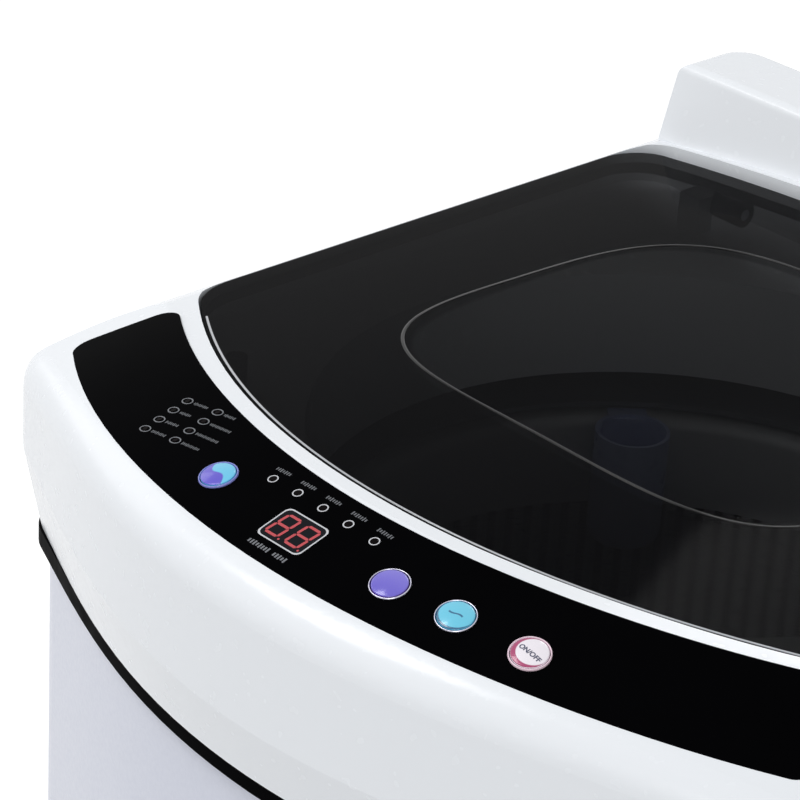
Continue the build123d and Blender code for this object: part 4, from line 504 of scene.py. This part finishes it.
# ---- Printed marks and digits ----
@dataclass
class PanelPrint:
    """Screen-printed marks of the control panel and the digits under its window."""
    lift: float = 0.06 * MM
    lamp_first_x: float = -0.0415
    lamp_pitch: float = 0.0161
    lamp_count: int = 5
    lamp_setback: float = 0.0544
    lamp_approach: float = 2.0 * MM
    lamp_ring: tuple[float, float] = (2.15 * MM, 2.15 * MM)
    lamp_word: tuple[float, float, float] = (-4.4 * MM, 5.8 * MM, 9.2 * MM)
    program_x: tuple[float, ...] = (-0.1218, -0.1015)
    program_setback: float = 0.0511
    program_pitch: float = 0.0078
    program_rows: int = 4
    program_mark: tuple[float, float] = (2.9 * MM, 2.0 * MM)
    program_bar: tuple[float, float] = (2.2 * MM, 0.6 * MM)
    program_gap: float = 4.4 * MM
    program_words_mm: tuple[float, ...] = (9.6, 9.0, 8.0, 9.6, 11.7, 15.6, 13.6, 7.5)
    mark_line: float = 0.55 * MM
    display: tuple[float, float] = (-0.0078, 0.0364)
    display_size: tuple[float, float] = (0.0244, 0.0179)
    display_corner: float = 3.0 * MM
    display_margin: float = 0.4 * MM
    display_line: float = 0.7 * MM
    window_rise: float = 0.30 * MM
    digit_lift: float = 0.32 * MM
    caption_fall: float = 13.6 * MM
    caption_words: tuple[tuple[float, float], ...] = ((-12.0 * MM, 13.0 * MM), (3.2 * MM, 9.6 * MM))

    def oval(self, half_x: float, half_y: float, steps: int = 48) -> np.ndarray:
        """Flat points of an ellipse: (a cos t, b sin t)."""
        turn = around(steps)
        return np.stack([half_x * np.cos(turn), half_y * np.sin(turn)], axis=-1)

    def rounded(self, half_x: float, half_y: float, corner: float, steps: int = 48) -> np.ndarray:
        """Flat points of a rectangle with round corners: an offset of a smaller rectangle."""
        turn = around(steps) + pi / steps
        away = np.stack([np.cos(turn), np.sin(turn)], axis=-1)
        return np.sign(away) * np.array([half_x - corner, half_y - corner]) + corner * away

    def rings(self, places: Places, half: Sequence[float], width: float, corner: float = 0.0,
              rise: float = 0.0) -> Mesh:
        """Printed outlines of one shape at several places.

        Args:
            places: where they stand.
            half: half of the shape's length and height, at the middle of the line.
            width: width of the printed line.
            corner: corner radius of a rectangle, or 0 for an ellipse.
            rise: how much higher than other prints it lies.
        """
        sizes = [(half[0] + margin, half[1] + margin) for margin in (-width / 2, width / 2)]
        outlines = np.stack([self.rounded(*size, corner) if corner else self.oval(*size)
                             for size in sizes])
        faces = grid_faces(2, outlines.shape[1], wrap=True)[:, ::-1]
        return join([(PANEL.lay(x, setback, outlines, self.lift + rise).reshape(-1, 3), faces)
                     for x, setback in places])

    def bars(self, dashes: Dashes) -> Mesh:
        """Short printed dashes, each a patch of 2 by 5 points."""
        parts = []
        for x, setback, length, height in dashes:
            side = np.linspace(-length / 2, length / 2, 5)
            back = np.array([-height / 2, height / 2])
            flat = np.stack(np.meshgrid(side, back, indexing="xy"), axis=-1)
            laid = PANEL.lay(x, setback, flat, self.lift)
            parts.append((laid.reshape(-1, 3), grid_faces(2, len(side))))
        return join(parts)

    def greeking(self, start: float, setback: float, length: float, size: float) -> Dashes:
        """A row of upright strokes in place of a word: stroke i is 1.9 + 0.4 sin(2.4 i) sizes tall.

        Args:
            start: x of the row's left end.
            setback: its middle behind the front, which also shifts the sine.
            length: its length.
            size: how large the letters would be, 1 for a pitch of 1.3 mm.
        """
        pitch = 1.3 * MM * size
        index = np.arange(int(length / pitch))
        heights = (1.9 + 0.4 * np.sin(2.4 * index + setback / MM)) * MM * size
        return [(float(start + (i + 0.5) * pitch), setback, 0.55 * pitch, float(height))
                for i, height in zip(index, heights)]

    def digit_segments(self) -> list[np.ndarray]:
        """Flat outlines of the fourteen segments and two points of a pair of figures of eight.

        Each segment is a long hexagon along a side or the middle of a box. The figure leans a
        little to its right.
        """
        width, height, bar = 7.3 * MM, 12.6 * MM, 1.35 * MM
        gap, lean = 0.62, 0.10
        dot, dot_place = 0.6 * MM, (4.7 * MM, -6.9 * MM)
        outlines = []
        for middle in (-6.1 * MM, 5.8 * MM):
            runs = [((-0.5, s), (0.5, s)) for s in (-1.0, 0.0, 1.0)]
            runs += [((s, a), (s, a + 1.0)) for s in (-0.5, 0.5) for a in (-1.0, 0.0)]
            for start, end in runs:
                first = np.array([start[0] * width, start[1] * height / 2])
                last = np.array([end[0] * width, end[1] * height / 2])
                along = unit(last - first)
                across = np.array([-along[1], along[0]]) * bar / 2
                a, b = first + along * bar * gap, last - along * bar * gap
                hexagon = np.array([a - along * bar / 2, a - across, b - across,
                                    b + along * bar / 2, b + across, a + across])
                hexagon[:, 0] += middle + hexagon[:, 1] * lean
                outlines.append(hexagon)
            outlines.append(self.oval(dot, dot, 6) + np.array(dot_place) + np.array([middle, 0.0]))
        return outlines

    def words(self, lamps: Places, programs: Places) -> tuple[Dashes, Dashes]:
        """Strokes in place of the labels, and those of the caption with the bars in the marks."""
        labels = []
        for (x, setback), length in zip(programs, self.program_words_mm):
            labels += self.greeking(x + self.program_gap, setback, length * MM, 0.8)
        along, behind, length = self.lamp_word
        for x, setback in lamps:
            labels += self.greeking(x + along, setback + behind, length, 1.0)
        caption = []
        for along, length in self.caption_words:
            caption += self.greeking(self.display[0] + along, self.display[1] - self.caption_fall,
                                     length, 1.25)
        caption += [(x, setback, *self.program_bar) for x, setback in programs]
        return labels, caption

    def build(self, ink: Material, grey_ink: Material, dim_ink: Material, lamp: Material) -> None:
        """Prints rings in ink, marks and caption in grey, labels in dim ink; lights the digits."""
        lamps = [(self.lamp_first_x + self.lamp_pitch * i,
                  self.lamp_setback - i / self.lamp_count * self.lamp_approach)
                 for i in range(self.lamp_count)]
        programs = [(x, self.program_setback + self.program_pitch * row)
                    for x in self.program_x for row in range(self.program_rows)]
        labels, caption = self.words(lamps, programs)
        edge = [size / 2 + self.display_margin for size in self.display_size]
        for name, mesh, finish in (
                ("lamp_ring_prints", self.rings(lamps, self.lamp_ring, self.mark_line), ink),
                ("program_mark_prints",
                 self.rings(programs, self.program_mark, self.mark_line), grey_ink),
                ("display_edge_print", self.rings([self.display], edge, self.display_line,
                                                  self.display_corner, self.window_rise), ink),
                ("label_dash_prints", self.bars(labels), dim_ink),
                ("caption_dash_prints", self.bars(caption), grey_ink)):
            make_piece(name, *mesh, finish, CABINET, "bezel")
        hexagon = np.arange(6)[None]
        digits = join([(PANEL.lay(*self.display, outline, self.digit_lift), hexagon)
                       for outline in self.digit_segments()])
        make_piece("display_digits", *digits, lamp, CABINET, "display", False)


# ---- Buttons ----
@dataclass
class ButtonCap:
    """Domed cap on a push button, its short word if it has one, and the ring pressed round it."""
    node: str
    x: float
    setback: float
    finish: CapFinish
    ring: Finish
    word: str = ""
    steps: int = 72
    cap_radius: float = 7.6 * MM
    cap_seat: float = 1.2 * MM
    cap_skirt: float = 0.2 * MM
    cap_clearance: float = 0.05 * MM
    dome: float = 0.9 * MM
    dome_rows: int = 14
    rim_rows: int = 6
    rim_start: float = 0.93
    rim_drop: float = 0.25 * MM
    letter_size: float = 3.1 * MM
    letter_weight: float = 0.09 * MM
    letter_lift: float = 0.12 * MM
    letter_shift: tuple[float, float] = (0.6 * MM, -0.6 * MM)
    ring_outer: float = 8.8 * MM
    ring_inner: float = 8.0 * MM
    ring_wall: float = 0.35 * MM
    ring_foot: float = -2.2 * MM
    ring_low: float = 0.1 * MM
    ring_rise: float = 1.0 * MM

    def place(self, points: np.ndarray) -> np.ndarray:
        """Carries points from the button's own axes to the row frame."""
        origin, side, back, normal = PANEL.frame(self.x, self.setback)
        return origin + points[:, :1] * side + points[:, 1:2] * back + points[:, 2:] * normal

    def build_cap(self) -> None:
        """A shallow dome: height falls with the square of the radius, and its rim turns down."""
        middle = 0.001  # share of the radius left open in the middle of the dome
        rim = np.linspace(0.2, pi / 2, self.rim_rows)
        share = np.concatenate([np.linspace(middle, self.rim_start, self.dome_rows),
                                self.rim_start + (1 - self.rim_start) * np.sin(rim)])
        top = self.cap_seat + self.cap_clearance + self.dome * (1 - share ** 2)
        top[-len(rim):] -= (1 - np.cos(rim)) * self.rim_drop
        profile = np.stack([share * self.cap_radius, top], axis=-1)[::-1]
        low = self.cap_seat - self.cap_skirt
        profile = np.concatenate([[[middle * self.cap_radius, low],
                                   [0.995 * self.cap_radius, low]], profile])
        points, faces = lathe(profile, self.steps)
        piece = make_piece(self.node + "_cap", self.place(points), faces, self.finish.build(),
                           self.node)
        add_map(piece, "disc", points[:, :2] / self.cap_radius * 0.5 + 0.5)

    def build_word(self, ink: Material) -> None:
        """Prints the cap's short word: flat letters raised to the dome h (1 - r squared)."""
        curve = bpy.data.curves.new(self.node + "_word", "FONT")
        curve.body, curve.size, curve.offset = self.word, self.letter_size, self.letter_weight
        curve.align_x, curve.align_y = "CENTER", "CENTER"
        carrier = put(curve.name, curve)
        graph = bpy.context.evaluated_depsgraph_get()
        mesh = bpy.data.meshes.new_from_object(carrier.evaluated_get(graph))
        mesh.name = carrier.name
        bpy.data.objects.remove(carrier)
        flat = np.zeros(len(mesh.vertices) * 3)
        mesh.vertices.foreach_get("co", flat)
        flat = flat.reshape(-1, 3)
        flat[:, :2] += self.letter_shift
        share = np.hypot(flat[:, 0], flat[:, 1]) / self.cap_radius
        flat[:, 2] = self.cap_seat + self.letter_lift + self.dome * (1 - share ** 2)
        mesh.vertices.foreach_set("co", self.place(flat).astype(np.float32).ravel())
        mesh.materials.clear()
        mesh.materials.append(ink)
        mesh.update()
        mount(mesh, self.node)

    def build_ring(self) -> None:
        """A half-round ring: a half circle of section turned round the button's axis."""
        turn = np.linspace(0, pi, 13)
        middle = (self.ring_outer + self.ring_inner) / 2
        half = (self.ring_outer - self.ring_inner) / 2
        arch = np.stack([middle + half * np.cos(turn),
                         self.ring_low + self.ring_rise * np.sin(turn)], axis=-1)
        wall = self.ring_inner + self.ring_wall
        foot = np.array([[self.ring_inner, self.ring_foot], [wall, self.ring_foot],
                         [wall, self.ring_low], [self.ring_outer, self.ring_low]])
        points, faces = lathe(np.concatenate([foot, arch[1:], foot[:1]]), self.steps)
        piece = make_piece(self.node + "_ring", self.place(points), faces, self.ring.build(),
                           CABINET, "bezel")
        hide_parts("button_bezels")


# ---- Basket ----
@dataclass
class Drum:
    """Fluted, pierced basket wall with its floor."""
    axis_y: float = -0.002
    radius: float = 0.1958
    inner_floor_radius: float = 0.0162
    low: float = 0.2512
    high: float = 0.7168
    flute: float = 1.5 * MM
    flute_steps: int = 8
    fade: float = 0.06
    fade_rows: int = 5
    wall_rows: int = 9
    floor_rings: int = 8
    wall: float = 0.8 * MM

    def build(self, finish: DrumFinish) -> None:
        """Wall: r = R - d (0.5 - 0.5 cos(n t)), faded in and out with height. Floor: flat rings."""
        columns = DRUM_FLUTES * self.flute_steps
        turn = np.linspace(0, 2 * pi, columns + 1)
        height = np.concatenate([np.linspace(0, self.fade, self.fade_rows),
                                 np.linspace(0.1, 0.9, self.wall_rows),
                                 np.linspace(1 - self.fade, 1, self.fade_rows)])
        fade = np.clip(np.minimum(height, 1 - height) / self.fade, 0, 1)
        fade = fade * fade * (3 - 2 * fade)
        lobes = 0.5 - 0.5 * np.cos(DRUM_FLUTES * turn)
        wall = self.radius - self.flute * fade[:, None] * lobes[None, :]
        share = np.linspace(0, 1, self.floor_rings)[:-1, None]
        floor = self.inner_floor_radius + (self.radius - self.inner_floor_radius) * share
        floor = np.broadcast_to(floor, (self.floor_rings - 1, columns + 1))
        radius = np.concatenate([floor, wall])
        z = np.concatenate([np.full(len(floor), self.low),
                            self.low + (self.high - self.low) * height])
        z = np.broadcast_to(z[:, None], radius.shape)
        points = np.stack([radius * np.cos(turn), self.axis_y + radius * np.sin(turn), z], axis=-1)
        faces = grid_faces(*radius.shape)[:, ::-1]
        piece = make_piece("basket_drum", points, faces, finish.build(), "basket", "stainless")
        up = np.concatenate([np.linspace(-0.3, -0.02, len(floor)), height])  # floor below wall
        places = np.stack(np.broadcast_arrays(turn / (2 * pi), up[:, None]), axis=-1)
        add_map(piece, "drum", places.reshape(-1, 2))
        thick = piece.modifiers.new("wall", "SOLIDIFY")
        thick.thickness, thick.offset = self.wall, 1.0
        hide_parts("basket")


# ---- Suspension springs ----
@dataclass
class CoilSprings:
    """Four coil springs on the rods' caps."""
    places: tuple[tuple[float, float], ...] = (
        (-0.200, -0.165), (-0.200, 0.176), (0.200, -0.165), (0.200, 0.176))
    seat_z: float = 0.238
    low: float = 0.2396
    height: float = 52.8 * MM
    radius: float = 9.0 * MM
    wire: float = 1.3 * MM
    turns: int = 8
    turn_steps: int = 24
    sides: int = 12
    shut: float = 0.675

    def build(self, material: Material) -> None:
        """Wire's middle: helix (r cos a, r sin a, rise a), with the wire's circle square to it."""
        angle = np.linspace(0, 2 * pi * self.turns, self.turns * self.turn_steps + 1)
        rise = self.height / angle[-1]
        zero = np.zeros_like(angle)
        outward = np.stack([np.cos(angle), np.sin(angle), zero], axis=-1)
        sideways = np.stack([-np.sin(angle), np.cos(angle), zero], axis=-1)
        middle = outward * self.radius + np.stack([zero, zero, self.low + rise * angle], axis=-1)
        ahead = unit(sideways * self.radius + np.array([0, 0, rise]))
        upward = np.cross(ahead, outward)
        turn = around(self.sides)[None, :, None]
        ring = np.cos(turn) * outward[:, None] + np.sin(turn) * upward[:, None]
        wire = middle[:, None] + self.wire * ring
        ends = [middle[i] + 0.01 * self.wire * ring[i] for i in (0, -1)]
        coil = np.concatenate([ends[0][None], wire, ends[1][None]])
        faces = grid_faces(len(coil), self.sides, wrap=True)
        points, faces = join([((coil + np.array([x, y, 0.0])).reshape(-1, 3), faces)
                              for x, y in self.places])
        piece = make_piece("coil_springs", points, faces, material, CABINET, "zinc_steel")
        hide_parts("suspension_springs")
        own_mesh(piece)


# ---- Lid trim ----
@dataclass
class LidTrim:
    """Details of the one-piece lid: a bead behind its front edge and one round the clear middle."""
    top_z: float = 0.876
    crown: float = 1.645
    front_y: float = -0.1931
    bow: tuple[float, float] = (17.2 * MM, 0.2 * MM)
    bow_unit: float = 0.1
    edge_inset: float = 2.2 * MM
    edge_half: float = 0.188
    edge_steps: int = 120
    edge_bead: tuple[float, float] = (0.6 * MM, 0.35 * MM)
    window_power: float = 0.57
    window_taper: float = 0.055
    window_steps: int = 240
    window_bead: tuple[float, float] = (0.9 * MM, 0.4 * MM)
    sides: int = 12
    weld: float = 0.01 * MM

    def height(self, x: np.ndarray) -> np.ndarray:
        """Top of the lid: a circle side to side, taken as z0 - x squared / 2R."""
        return self.top_z - x ** 2 / (2 * self.crown)

    def tube(self, name: str, path: np.ndarray, closed: bool, bead: tuple[float, float],
             material: Material) -> None:
        """A flattened round bead along a path on the lid: r cos a across, rise sin a up.

        Args:
            name: piece name.
            path: rows of x and y.
            closed: whether the path is a loop.
            bead: half of its width, and its height.
            material: its finish.
        """
        ahead = np.roll(path, -1, axis=0) - np.roll(path, 1, axis=0)
        if not closed:
            ahead[0], ahead[-1] = path[1] - path[0], path[-1] - path[-2]
        ahead = unit(ahead)
        across = np.stack([-ahead[:, 1], ahead[:, 0]], axis=-1)
        turn = around(self.sides)
        flat = path[None] + across[None] * (bead[0] * np.cos(turn))[:, None, None]
        z = self.height(flat[..., 0]) + (bead[1] * np.sin(turn))[:, None]
        points = np.concatenate([flat, z[..., None]], axis=-1).transpose(1, 0, 2)
        if closed:
            points = np.concatenate([points, points[:1]])
        faces = grid_faces(len(points), self.sides, wrap=True)
        piece = make_piece(name, points, faces, material, "lid", "smoked_lid")
        piece.modifiers.new("seam", "WELD").merge_threshold = self.weld

    def build(self, bead: Material, rolled: Material) -> None:
        """The bead is a superellipse whose sides lean in to the back; the rolled edge is a bow, and
        its pale finish is a painted highlight.
        """
        turn = around(self.window_steps)
        across, back = (np.sign(part) * np.abs(part) ** self.window_power
                        for part in (np.cos(turn), np.sin(turn)))
        x = LID_WINDOW_HALF[0] * across * (1 - self.window_taper * back)
        y = LID_WINDOW_Y + LID_WINDOW_HALF[1] * back
        self.tube("lid_window_bead", np.stack([x, y], axis=-1), True, self.window_bead, bead)
        side = np.linspace(-self.edge_half, self.edge_half, self.edge_steps)
        u = side / self.bow_unit
        y = self.front_y + self.edge_inset + self.bow[0] * u ** 2 + self.bow[1] * u ** 4
        self.tube("lid_front_bead", np.stack([side, y], axis=-1), False, self.edge_bead, rolled)


# ---- Named finishes ----
# Moulded gloss ABS: bright, slightly blue white with soft broad highlights.
WHITE_ABS = Finish("gloss_white_abs", "#EDF0F4", "#EDF0F4", 0.24, 6.0, 0.006,
                   grain=Grain.ORANGE_PEEL)
# Stoved paint on steel sheet: fine orange peel, pale lavender white.
CABINET_PAINT = Finish("lavender_stoved_paint", "#D6D9E6", "#CFD2E0", 0.33, 2.2, 0.012, 0.4,
                       grain=Grain.ORANGE_PEEL)
# Black acrylic front: mirror smooth, nearly no colour of its own.
PANEL_ACRYLIC = Finish("black_gloss_acrylic", "#040405", "#060608", 0.10, 30.0, 0.002, ior=1.49,
                       specular=0.003)
# Tinted acrylic over the digits: dark grey.
WINDOW_ACRYLIC = Finish("tinted_window_acrylic", "#1B1C20", "#222327", 0.08, 20.0, 0.001, ior=1.49,
                        specular=0.02)
# Smoked acrylic: dark, clear enough to see the basket's wall.
LID_ACRYLIC = LidFinish("smoked_lid_acrylic")
# The lid's polished bead catches the lamps; the one along its front edge is pale grey, a painted
# highlight on the dark lid.
LID_BEAD = Finish("polished_acrylic_bead", "#08080A", "#0C0C0E", 0.08, 30.0, 0.001, ior=1.49,
                  specular=0.22)
LID_EDGE_HIGHLIGHT = Finish("pale_painted_highlight_edge", "#B4B6BA", "#BEC0C4", 0.06, 30.0, 0.001, ior=1.49)
# Plastics and rubber.
BLACK_TRIM = Finish("black_strip_abs", "#060607", "#09090B", 0.45, 12.0, 0.004, 0.4, specular=0.003)
GREY_PP = Finish("grey_polypropylene", "#7C7F85", "#71747A", 0.55, 0.9, 0.02, 0.4)
TUB_PP = Finish("filled_white_polypropylene", "#D9DBDE", "#CFD2D6", 0.42, 5.0, 0.015, 0.4)
CUP_PP = Finish("pale_blue_polypropylene", "#C9D3F6", "#BFCAF0", 0.30, 6.0, 0.01, 0.4)
BLACK_NYLON = Finish("black_nylon", "#151517", "#1D1D20", 0.50, 0.8, 0.02, 0.5)
EPDM = Finish("black_epdm_rubber", "#141414", "#1E1E1E", 0.80, 1.5, 0.03, 0.5, grain=Grain.RUBBER)
BUTTON_PURPLE = Finish("purple_button_abs", "#5B3FA0", "#65489F", 0.25, 5.0, 0.002)
BUTTON_CYAN = Finish("cyan_button_abs", "#4FB4D8", "#5ABBDA", 0.25, 5.0, 0.002)
BUTTON_WHITE = Finish("white_button_abs", "#EDEAF0", "#E6E2EC", 0.25, 5.0, 0.002)
BLUE_RING = Finish("periwinkle_ring_abs", "#8A90DA", "#8087D4", 0.25, 4.0, 0.001)
PINK_RING = Finish("pale_pink_ring_abs", "#F0D6E2", "#EACBDA", 0.22, 4.0, 0.001)
# Metals.
ZINC_SHEET = Finish("spangled_zinc_sheet", "#B6BABD", "#ABAFB4", 0.38, 6.0, 0.002, 0.6,
                    grain=Grain.SPANGLE, metallic=1.0)
ZINC_WIRE = Finish("bright_zinc_steel", "#BEC2C6", "#AEB2B7", 0.30, 6.0, 0.004, 0.4,
                   grain=Grain.BRUSHED, metallic=1.0)
STAINLESS = Finish("turned_stainless", "#C3C6CB", "#B4B8BE", 0.28, 8.0, 0.003, 0.4,
                   grain=Grain.BRUSHED, metallic=1.0)
CAST_ALLOY = Finish("die_cast_alloy", "#A9ACB0", "#94979C", 0.48, 2.0, 0.05, 0.6, grain=Grain.CAST,
                    metallic=1.0)
SATIN_CHROME = Finish("satin_chrome_plating", "#C9C8D6", "#BDBCCC", 0.22, 4.0, 0.001, metallic=1.0)
# Lamps, inks and the board.
LAMP_PIPE = Finish("dark_light_pipe", "#0A0607", "#0E0809", 0.25, 3.0, 0.001, specular=0.02)
DIGIT_LAMP = Finish("red_led_segments", "#A8323A", "#B43E44", 0.40, 3.0, 0.001, glow=0.22)
WHITE_INK = Finish("white_screen_ink", "#C9CACE", "#BDBFC4", 0.60, 0.6, 0.002, 0.5)
GREY_INK = Finish("grey_screen_ink", "#6E7075", "#62646A", 0.60, 0.6, 0.002, 0.5)
DIM_INK = Finish("dim_screen_ink", "#5A5C61", "#4C4E53", 0.60, 0.6, 0.002, 0.5)
SLATE_INK = Finish("slate_pad_print_ink", "#3C3F58", "#454862", 0.60, 0.6, 0.002, 0.5)
SOLDER_MASK = Finish("green_solder_mask", "#1F5A34", "#2F7A48", 0.35, 12.0, 0.03, 0.7,
                     grain=Grain.BOARD)

DRESS: dict[Shading, tuple[str, ...]] = {
    WHITE_ABS: ("top_cover", "rear_console", "left_handle", "right_handle", "detergent_drawer"),
    CABINET_PAINT: ("cabinet",),
    PANEL_ACRYLIC: ("control_panel",),
    WINDOW_ACRYLIC: ("display_window",),
    LID_ACRYLIC: ("lid",),
    BLACK_TRIM: ("trim_strip", "lid_switch", "lid_switch_lever"),
    GREY_PP: ("base", "panel_tray", "bottom_guard", "water_inlet_box", "tub_cover", "drain_valve",
              "drain_plunger", "pressure_switch"),
    TUB_PP: ("outer_tub", "balance_ring", "pulsator", "lint_filter", "inlet_valve"),
    CUP_PP: ("softener_cup",),
    BLACK_NYLON: ("fixed_feet", "adjustable_foot", "tact_switches", "cord_gland", "drain_motor",
                  "damper_cups", "display_module"),
    EPDM: ("drain_grommet", "lid_bumpers", "drive_belt"),
    ZINC_SHEET: ("back_cover", "corner_brackets", "drive_mount"),
    ZINC_WIRE: ("back_cover_screws", "cover_screws", "suspension_rods", "suspension_springs",
                "lid_hinge_pins", "foot_locknut", "pulsator_screw"),
    STAINLESS: ("basket", "basket_hub"),
    CAST_ALLOY: ("gearbox", "motor", "run_capacitor", "clutch_pulley", "motor_pulley"),
    BUTTON_CYAN: ("program_button", "water_level_button"),
    BUTTON_PURPLE: ("process_button",),
    BUTTON_WHITE: ("power_button",),
    LAMP_PIPE: ("indicator_lenses",),
    SATIN_CHROME: ("button_bezels",),
    SOLDER_MASK: ("control_board",),
}


def dress_solids() -> None:
    """Gives every CAD solid its material."""
    for finish, names in DRESS.items():
        material = finish.build()
        for name in names:
            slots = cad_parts[name].data.materials
            slots.clear()
            slots.append(material)
            LOG.info("solid %s: %s", name, finish.name)
    bare = sorted(set(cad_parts) - {name for names in DRESS.values() for name in names})
    if bare:
        LOG.warning("solids without a finish: %s", bare)


# ---- Studio ----
@dataclass(frozen=True)
class Softbox:
    """Square soft lamp: where it hangs, the length of its side and its power in watts."""
    name: str
    place: tuple[float, float, float]
    size: float
    power: float


@dataclass
class Studio:
    """White backdrop, soft lamps and the camera."""
    eye: tuple[float, float, float] = (0.81782, -0.98671, 1.51241)
    right: tuple[float, float, float] = (0.67784, 0.73294, 0.05782)
    up: tuple[float, float, float] = (-0.37327, 0.27532, 0.88593)
    back: tuple[float, float, float] = (0.63341, -0.62209, 0.46021)
    lens_mm: float = 142.75
    sensor_mm: float = 36.0
    clip: tuple[float, float] = (0.05, 60.0)
    floor_half: float = 15.0
    floor_colour: str = "#D6D6D6"
    floor_seen: str = "#A8A8A8"
    floor_glow: float = 0.86
    sky: tuple[float, float, float, float] = (0.97, 0.985, 1.0, 1.0)
    sky_strength: float = 0.40
    aim: tuple[float, float, float] = (0.0, 0.0, 0.7)
    lamps: tuple[Softbox, ...] = (
        Softbox("key_softbox", (-1.2, -1.2, 3.3), 1.4, 40.0),
        Softbox("right_softbox", (1.8, -2.0, 1.6), 1.4, 24.0),
        Softbox("back_softbox", (-1.0, 2.0, 2.9), 0.8, 8.0),
        Softbox("left_softbox", (-2.4, -0.4, 1.8), 1.6, 7.0))

    def build_camera(self) -> None:
        """Camera from its eye point and axes, centred, with no shift."""
        camera = bpy.data.cameras.new("camera")
        camera.lens, camera.sensor_width = self.lens_mm, self.sensor_mm
        camera.clip_start, camera.clip_end = self.clip
        holder = put("camera", camera)
        matrix = Matrix(np.array([self.right, self.up, self.back]).T.tolist()).to_4x4()
        matrix.translation = Vector(self.eye)
        holder.matrix_world = matrix
        bpy.context.scene.camera = holder

    def mix_by_view(self, tree: Any, hidden: Any, seen: Any) -> Any:
        """Socket of one shader node that only lights and one that is seen, in gloss as well."""
        path = add_node(tree, "LightPath").outputs
        view = maths(tree, "MAXIMUM", path["Is Camera Ray"], path["Is Transmission Ray"])
        view = maths(tree, "MAXIMUM", view, path["Is Glossy Ray"])
        inputs = {0: view, 1: hidden.outputs[0], 2: seen.outputs[0]}
        return add_node(tree, "MixShader", inputs).outputs[0]

    def build_floor(self) -> None:
        """Wide pale floor that is white to the camera but keeps the shadow."""
        half = self.floor_half
        mesh = bpy.data.meshes.new("floor")
        mesh.from_pydata([(-half, -half, 0), (half, -half, 0), (half, half, 0), (-half, half, 0)],
                         [], [(0, 1, 2, 3)])
        floor = put("floor", mesh)
        material = bpy.data.materials.new("pale_floor")
        tree = fresh_tree(material)
        pale = add_node(tree, "BsdfDiffuse", {"Color": linear(self.floor_colour)})
        dark = add_node(tree, "BsdfDiffuse", {"Color": linear(self.floor_seen)})
        white = add_node(tree, "Emission", {"Color": WHITE, "Strength": self.floor_glow})
        seen = add_node(tree, "AddShader", {0: white.outputs[0], 1: dark.outputs[0]})
        add_node(tree, "OutputMaterial", {"Surface": self.mix_by_view(tree, pale, seen)})
        mesh.materials.append(material)

    def build_world(self) -> None:
        """Plain world: white where it is seen directly or in gloss, softer as light."""
        world = bpy.data.worlds.new("studio")
        bpy.context.scene.world = world
        tree = fresh_tree(world)
        light = add_node(tree, "Background", {"Color": self.sky, "Strength": self.sky_strength})
        plain = add_node(tree, "Background", {"Color": WHITE, "Strength": 1.0})
        add_node(tree, "OutputWorld", {"Surface": self.mix_by_view(tree, light, plain)})

    def build_lamp(self, softbox: Softbox) -> None:
        """Hangs a lamp so that it looks at the machine's upper half."""
        lamp = bpy.data.lights.new(softbox.name, "AREA")
        lamp.shape, lamp.size, lamp.energy = "SQUARE", softbox.size, softbox.power
        holder = put(softbox.name, lamp)
        holder.location = softbox.place
        holder.rotation_mode = "QUATERNION"
        ahead = Vector(self.aim) - Vector(softbox.place)
        holder.rotation_quaternion = ahead.to_track_quat("-Z", "Y")

    def build(self) -> None:
        """Makes all of it and sets the plain view transform."""
        self.build_camera()
        self.build_floor()
        self.build_world()
        for softbox in self.lamps:
            self.build_lamp(softbox)
        bpy.context.scene.view_settings.view_transform = "Standard"


# ---- The whole machine ----
CAPS = (
    ButtonCap("program_button", -0.0631, 0.0432,
              CapFinish("two_shot_wave_cap", "#5648C8", "#62C4E8", CapArt.TWO_SHOT), BLUE_RING),
    ButtonCap("process_button", 0.0466, 0.0399,
              CapFinish("violet_cap_abs", "#5D50C4", "#7A6FD6", CapArt.PLAIN), SATIN_CHROME),
    ButtonCap("water_level_button", 0.0788, 0.0455,
              CapFinish("cyan_stroke_cap", "#1E5F86", "#66C8E4", CapArt.STROKE), SATIN_CHROME),
    ButtonCap("power_button", 0.1132, 0.0524,
              CapFinish("white_crescent_cap", "#A83468", "#F0EAF1", CapArt.CRESCENT), PINK_RING,
              "ON/OFF"),
)


def main() -> None:
    """Builds the dress of each sub-assembly, then the studio."""
    logging.basicConfig(level=logging.INFO)
    dress_solids()
    PanelPrint().build(WHITE_INK.build(), GREY_INK.build(), DIM_INK.build(), DIGIT_LAMP.build())
    LidTrim().build(LID_BEAD.build(), LID_EDGE_HIGHLIGHT.build())
    CoilSprings().build(ZINC_WIRE.build())
    slate = SLATE_INK.build()
    for cap in CAPS:
        cap.build_cap()
        cap.build_ring()
        if cap.word:
            cap.build_word(slate)
    Drum().build(DrumFinish())
    Studio().build()


if __name__ == "__main__":
    main()
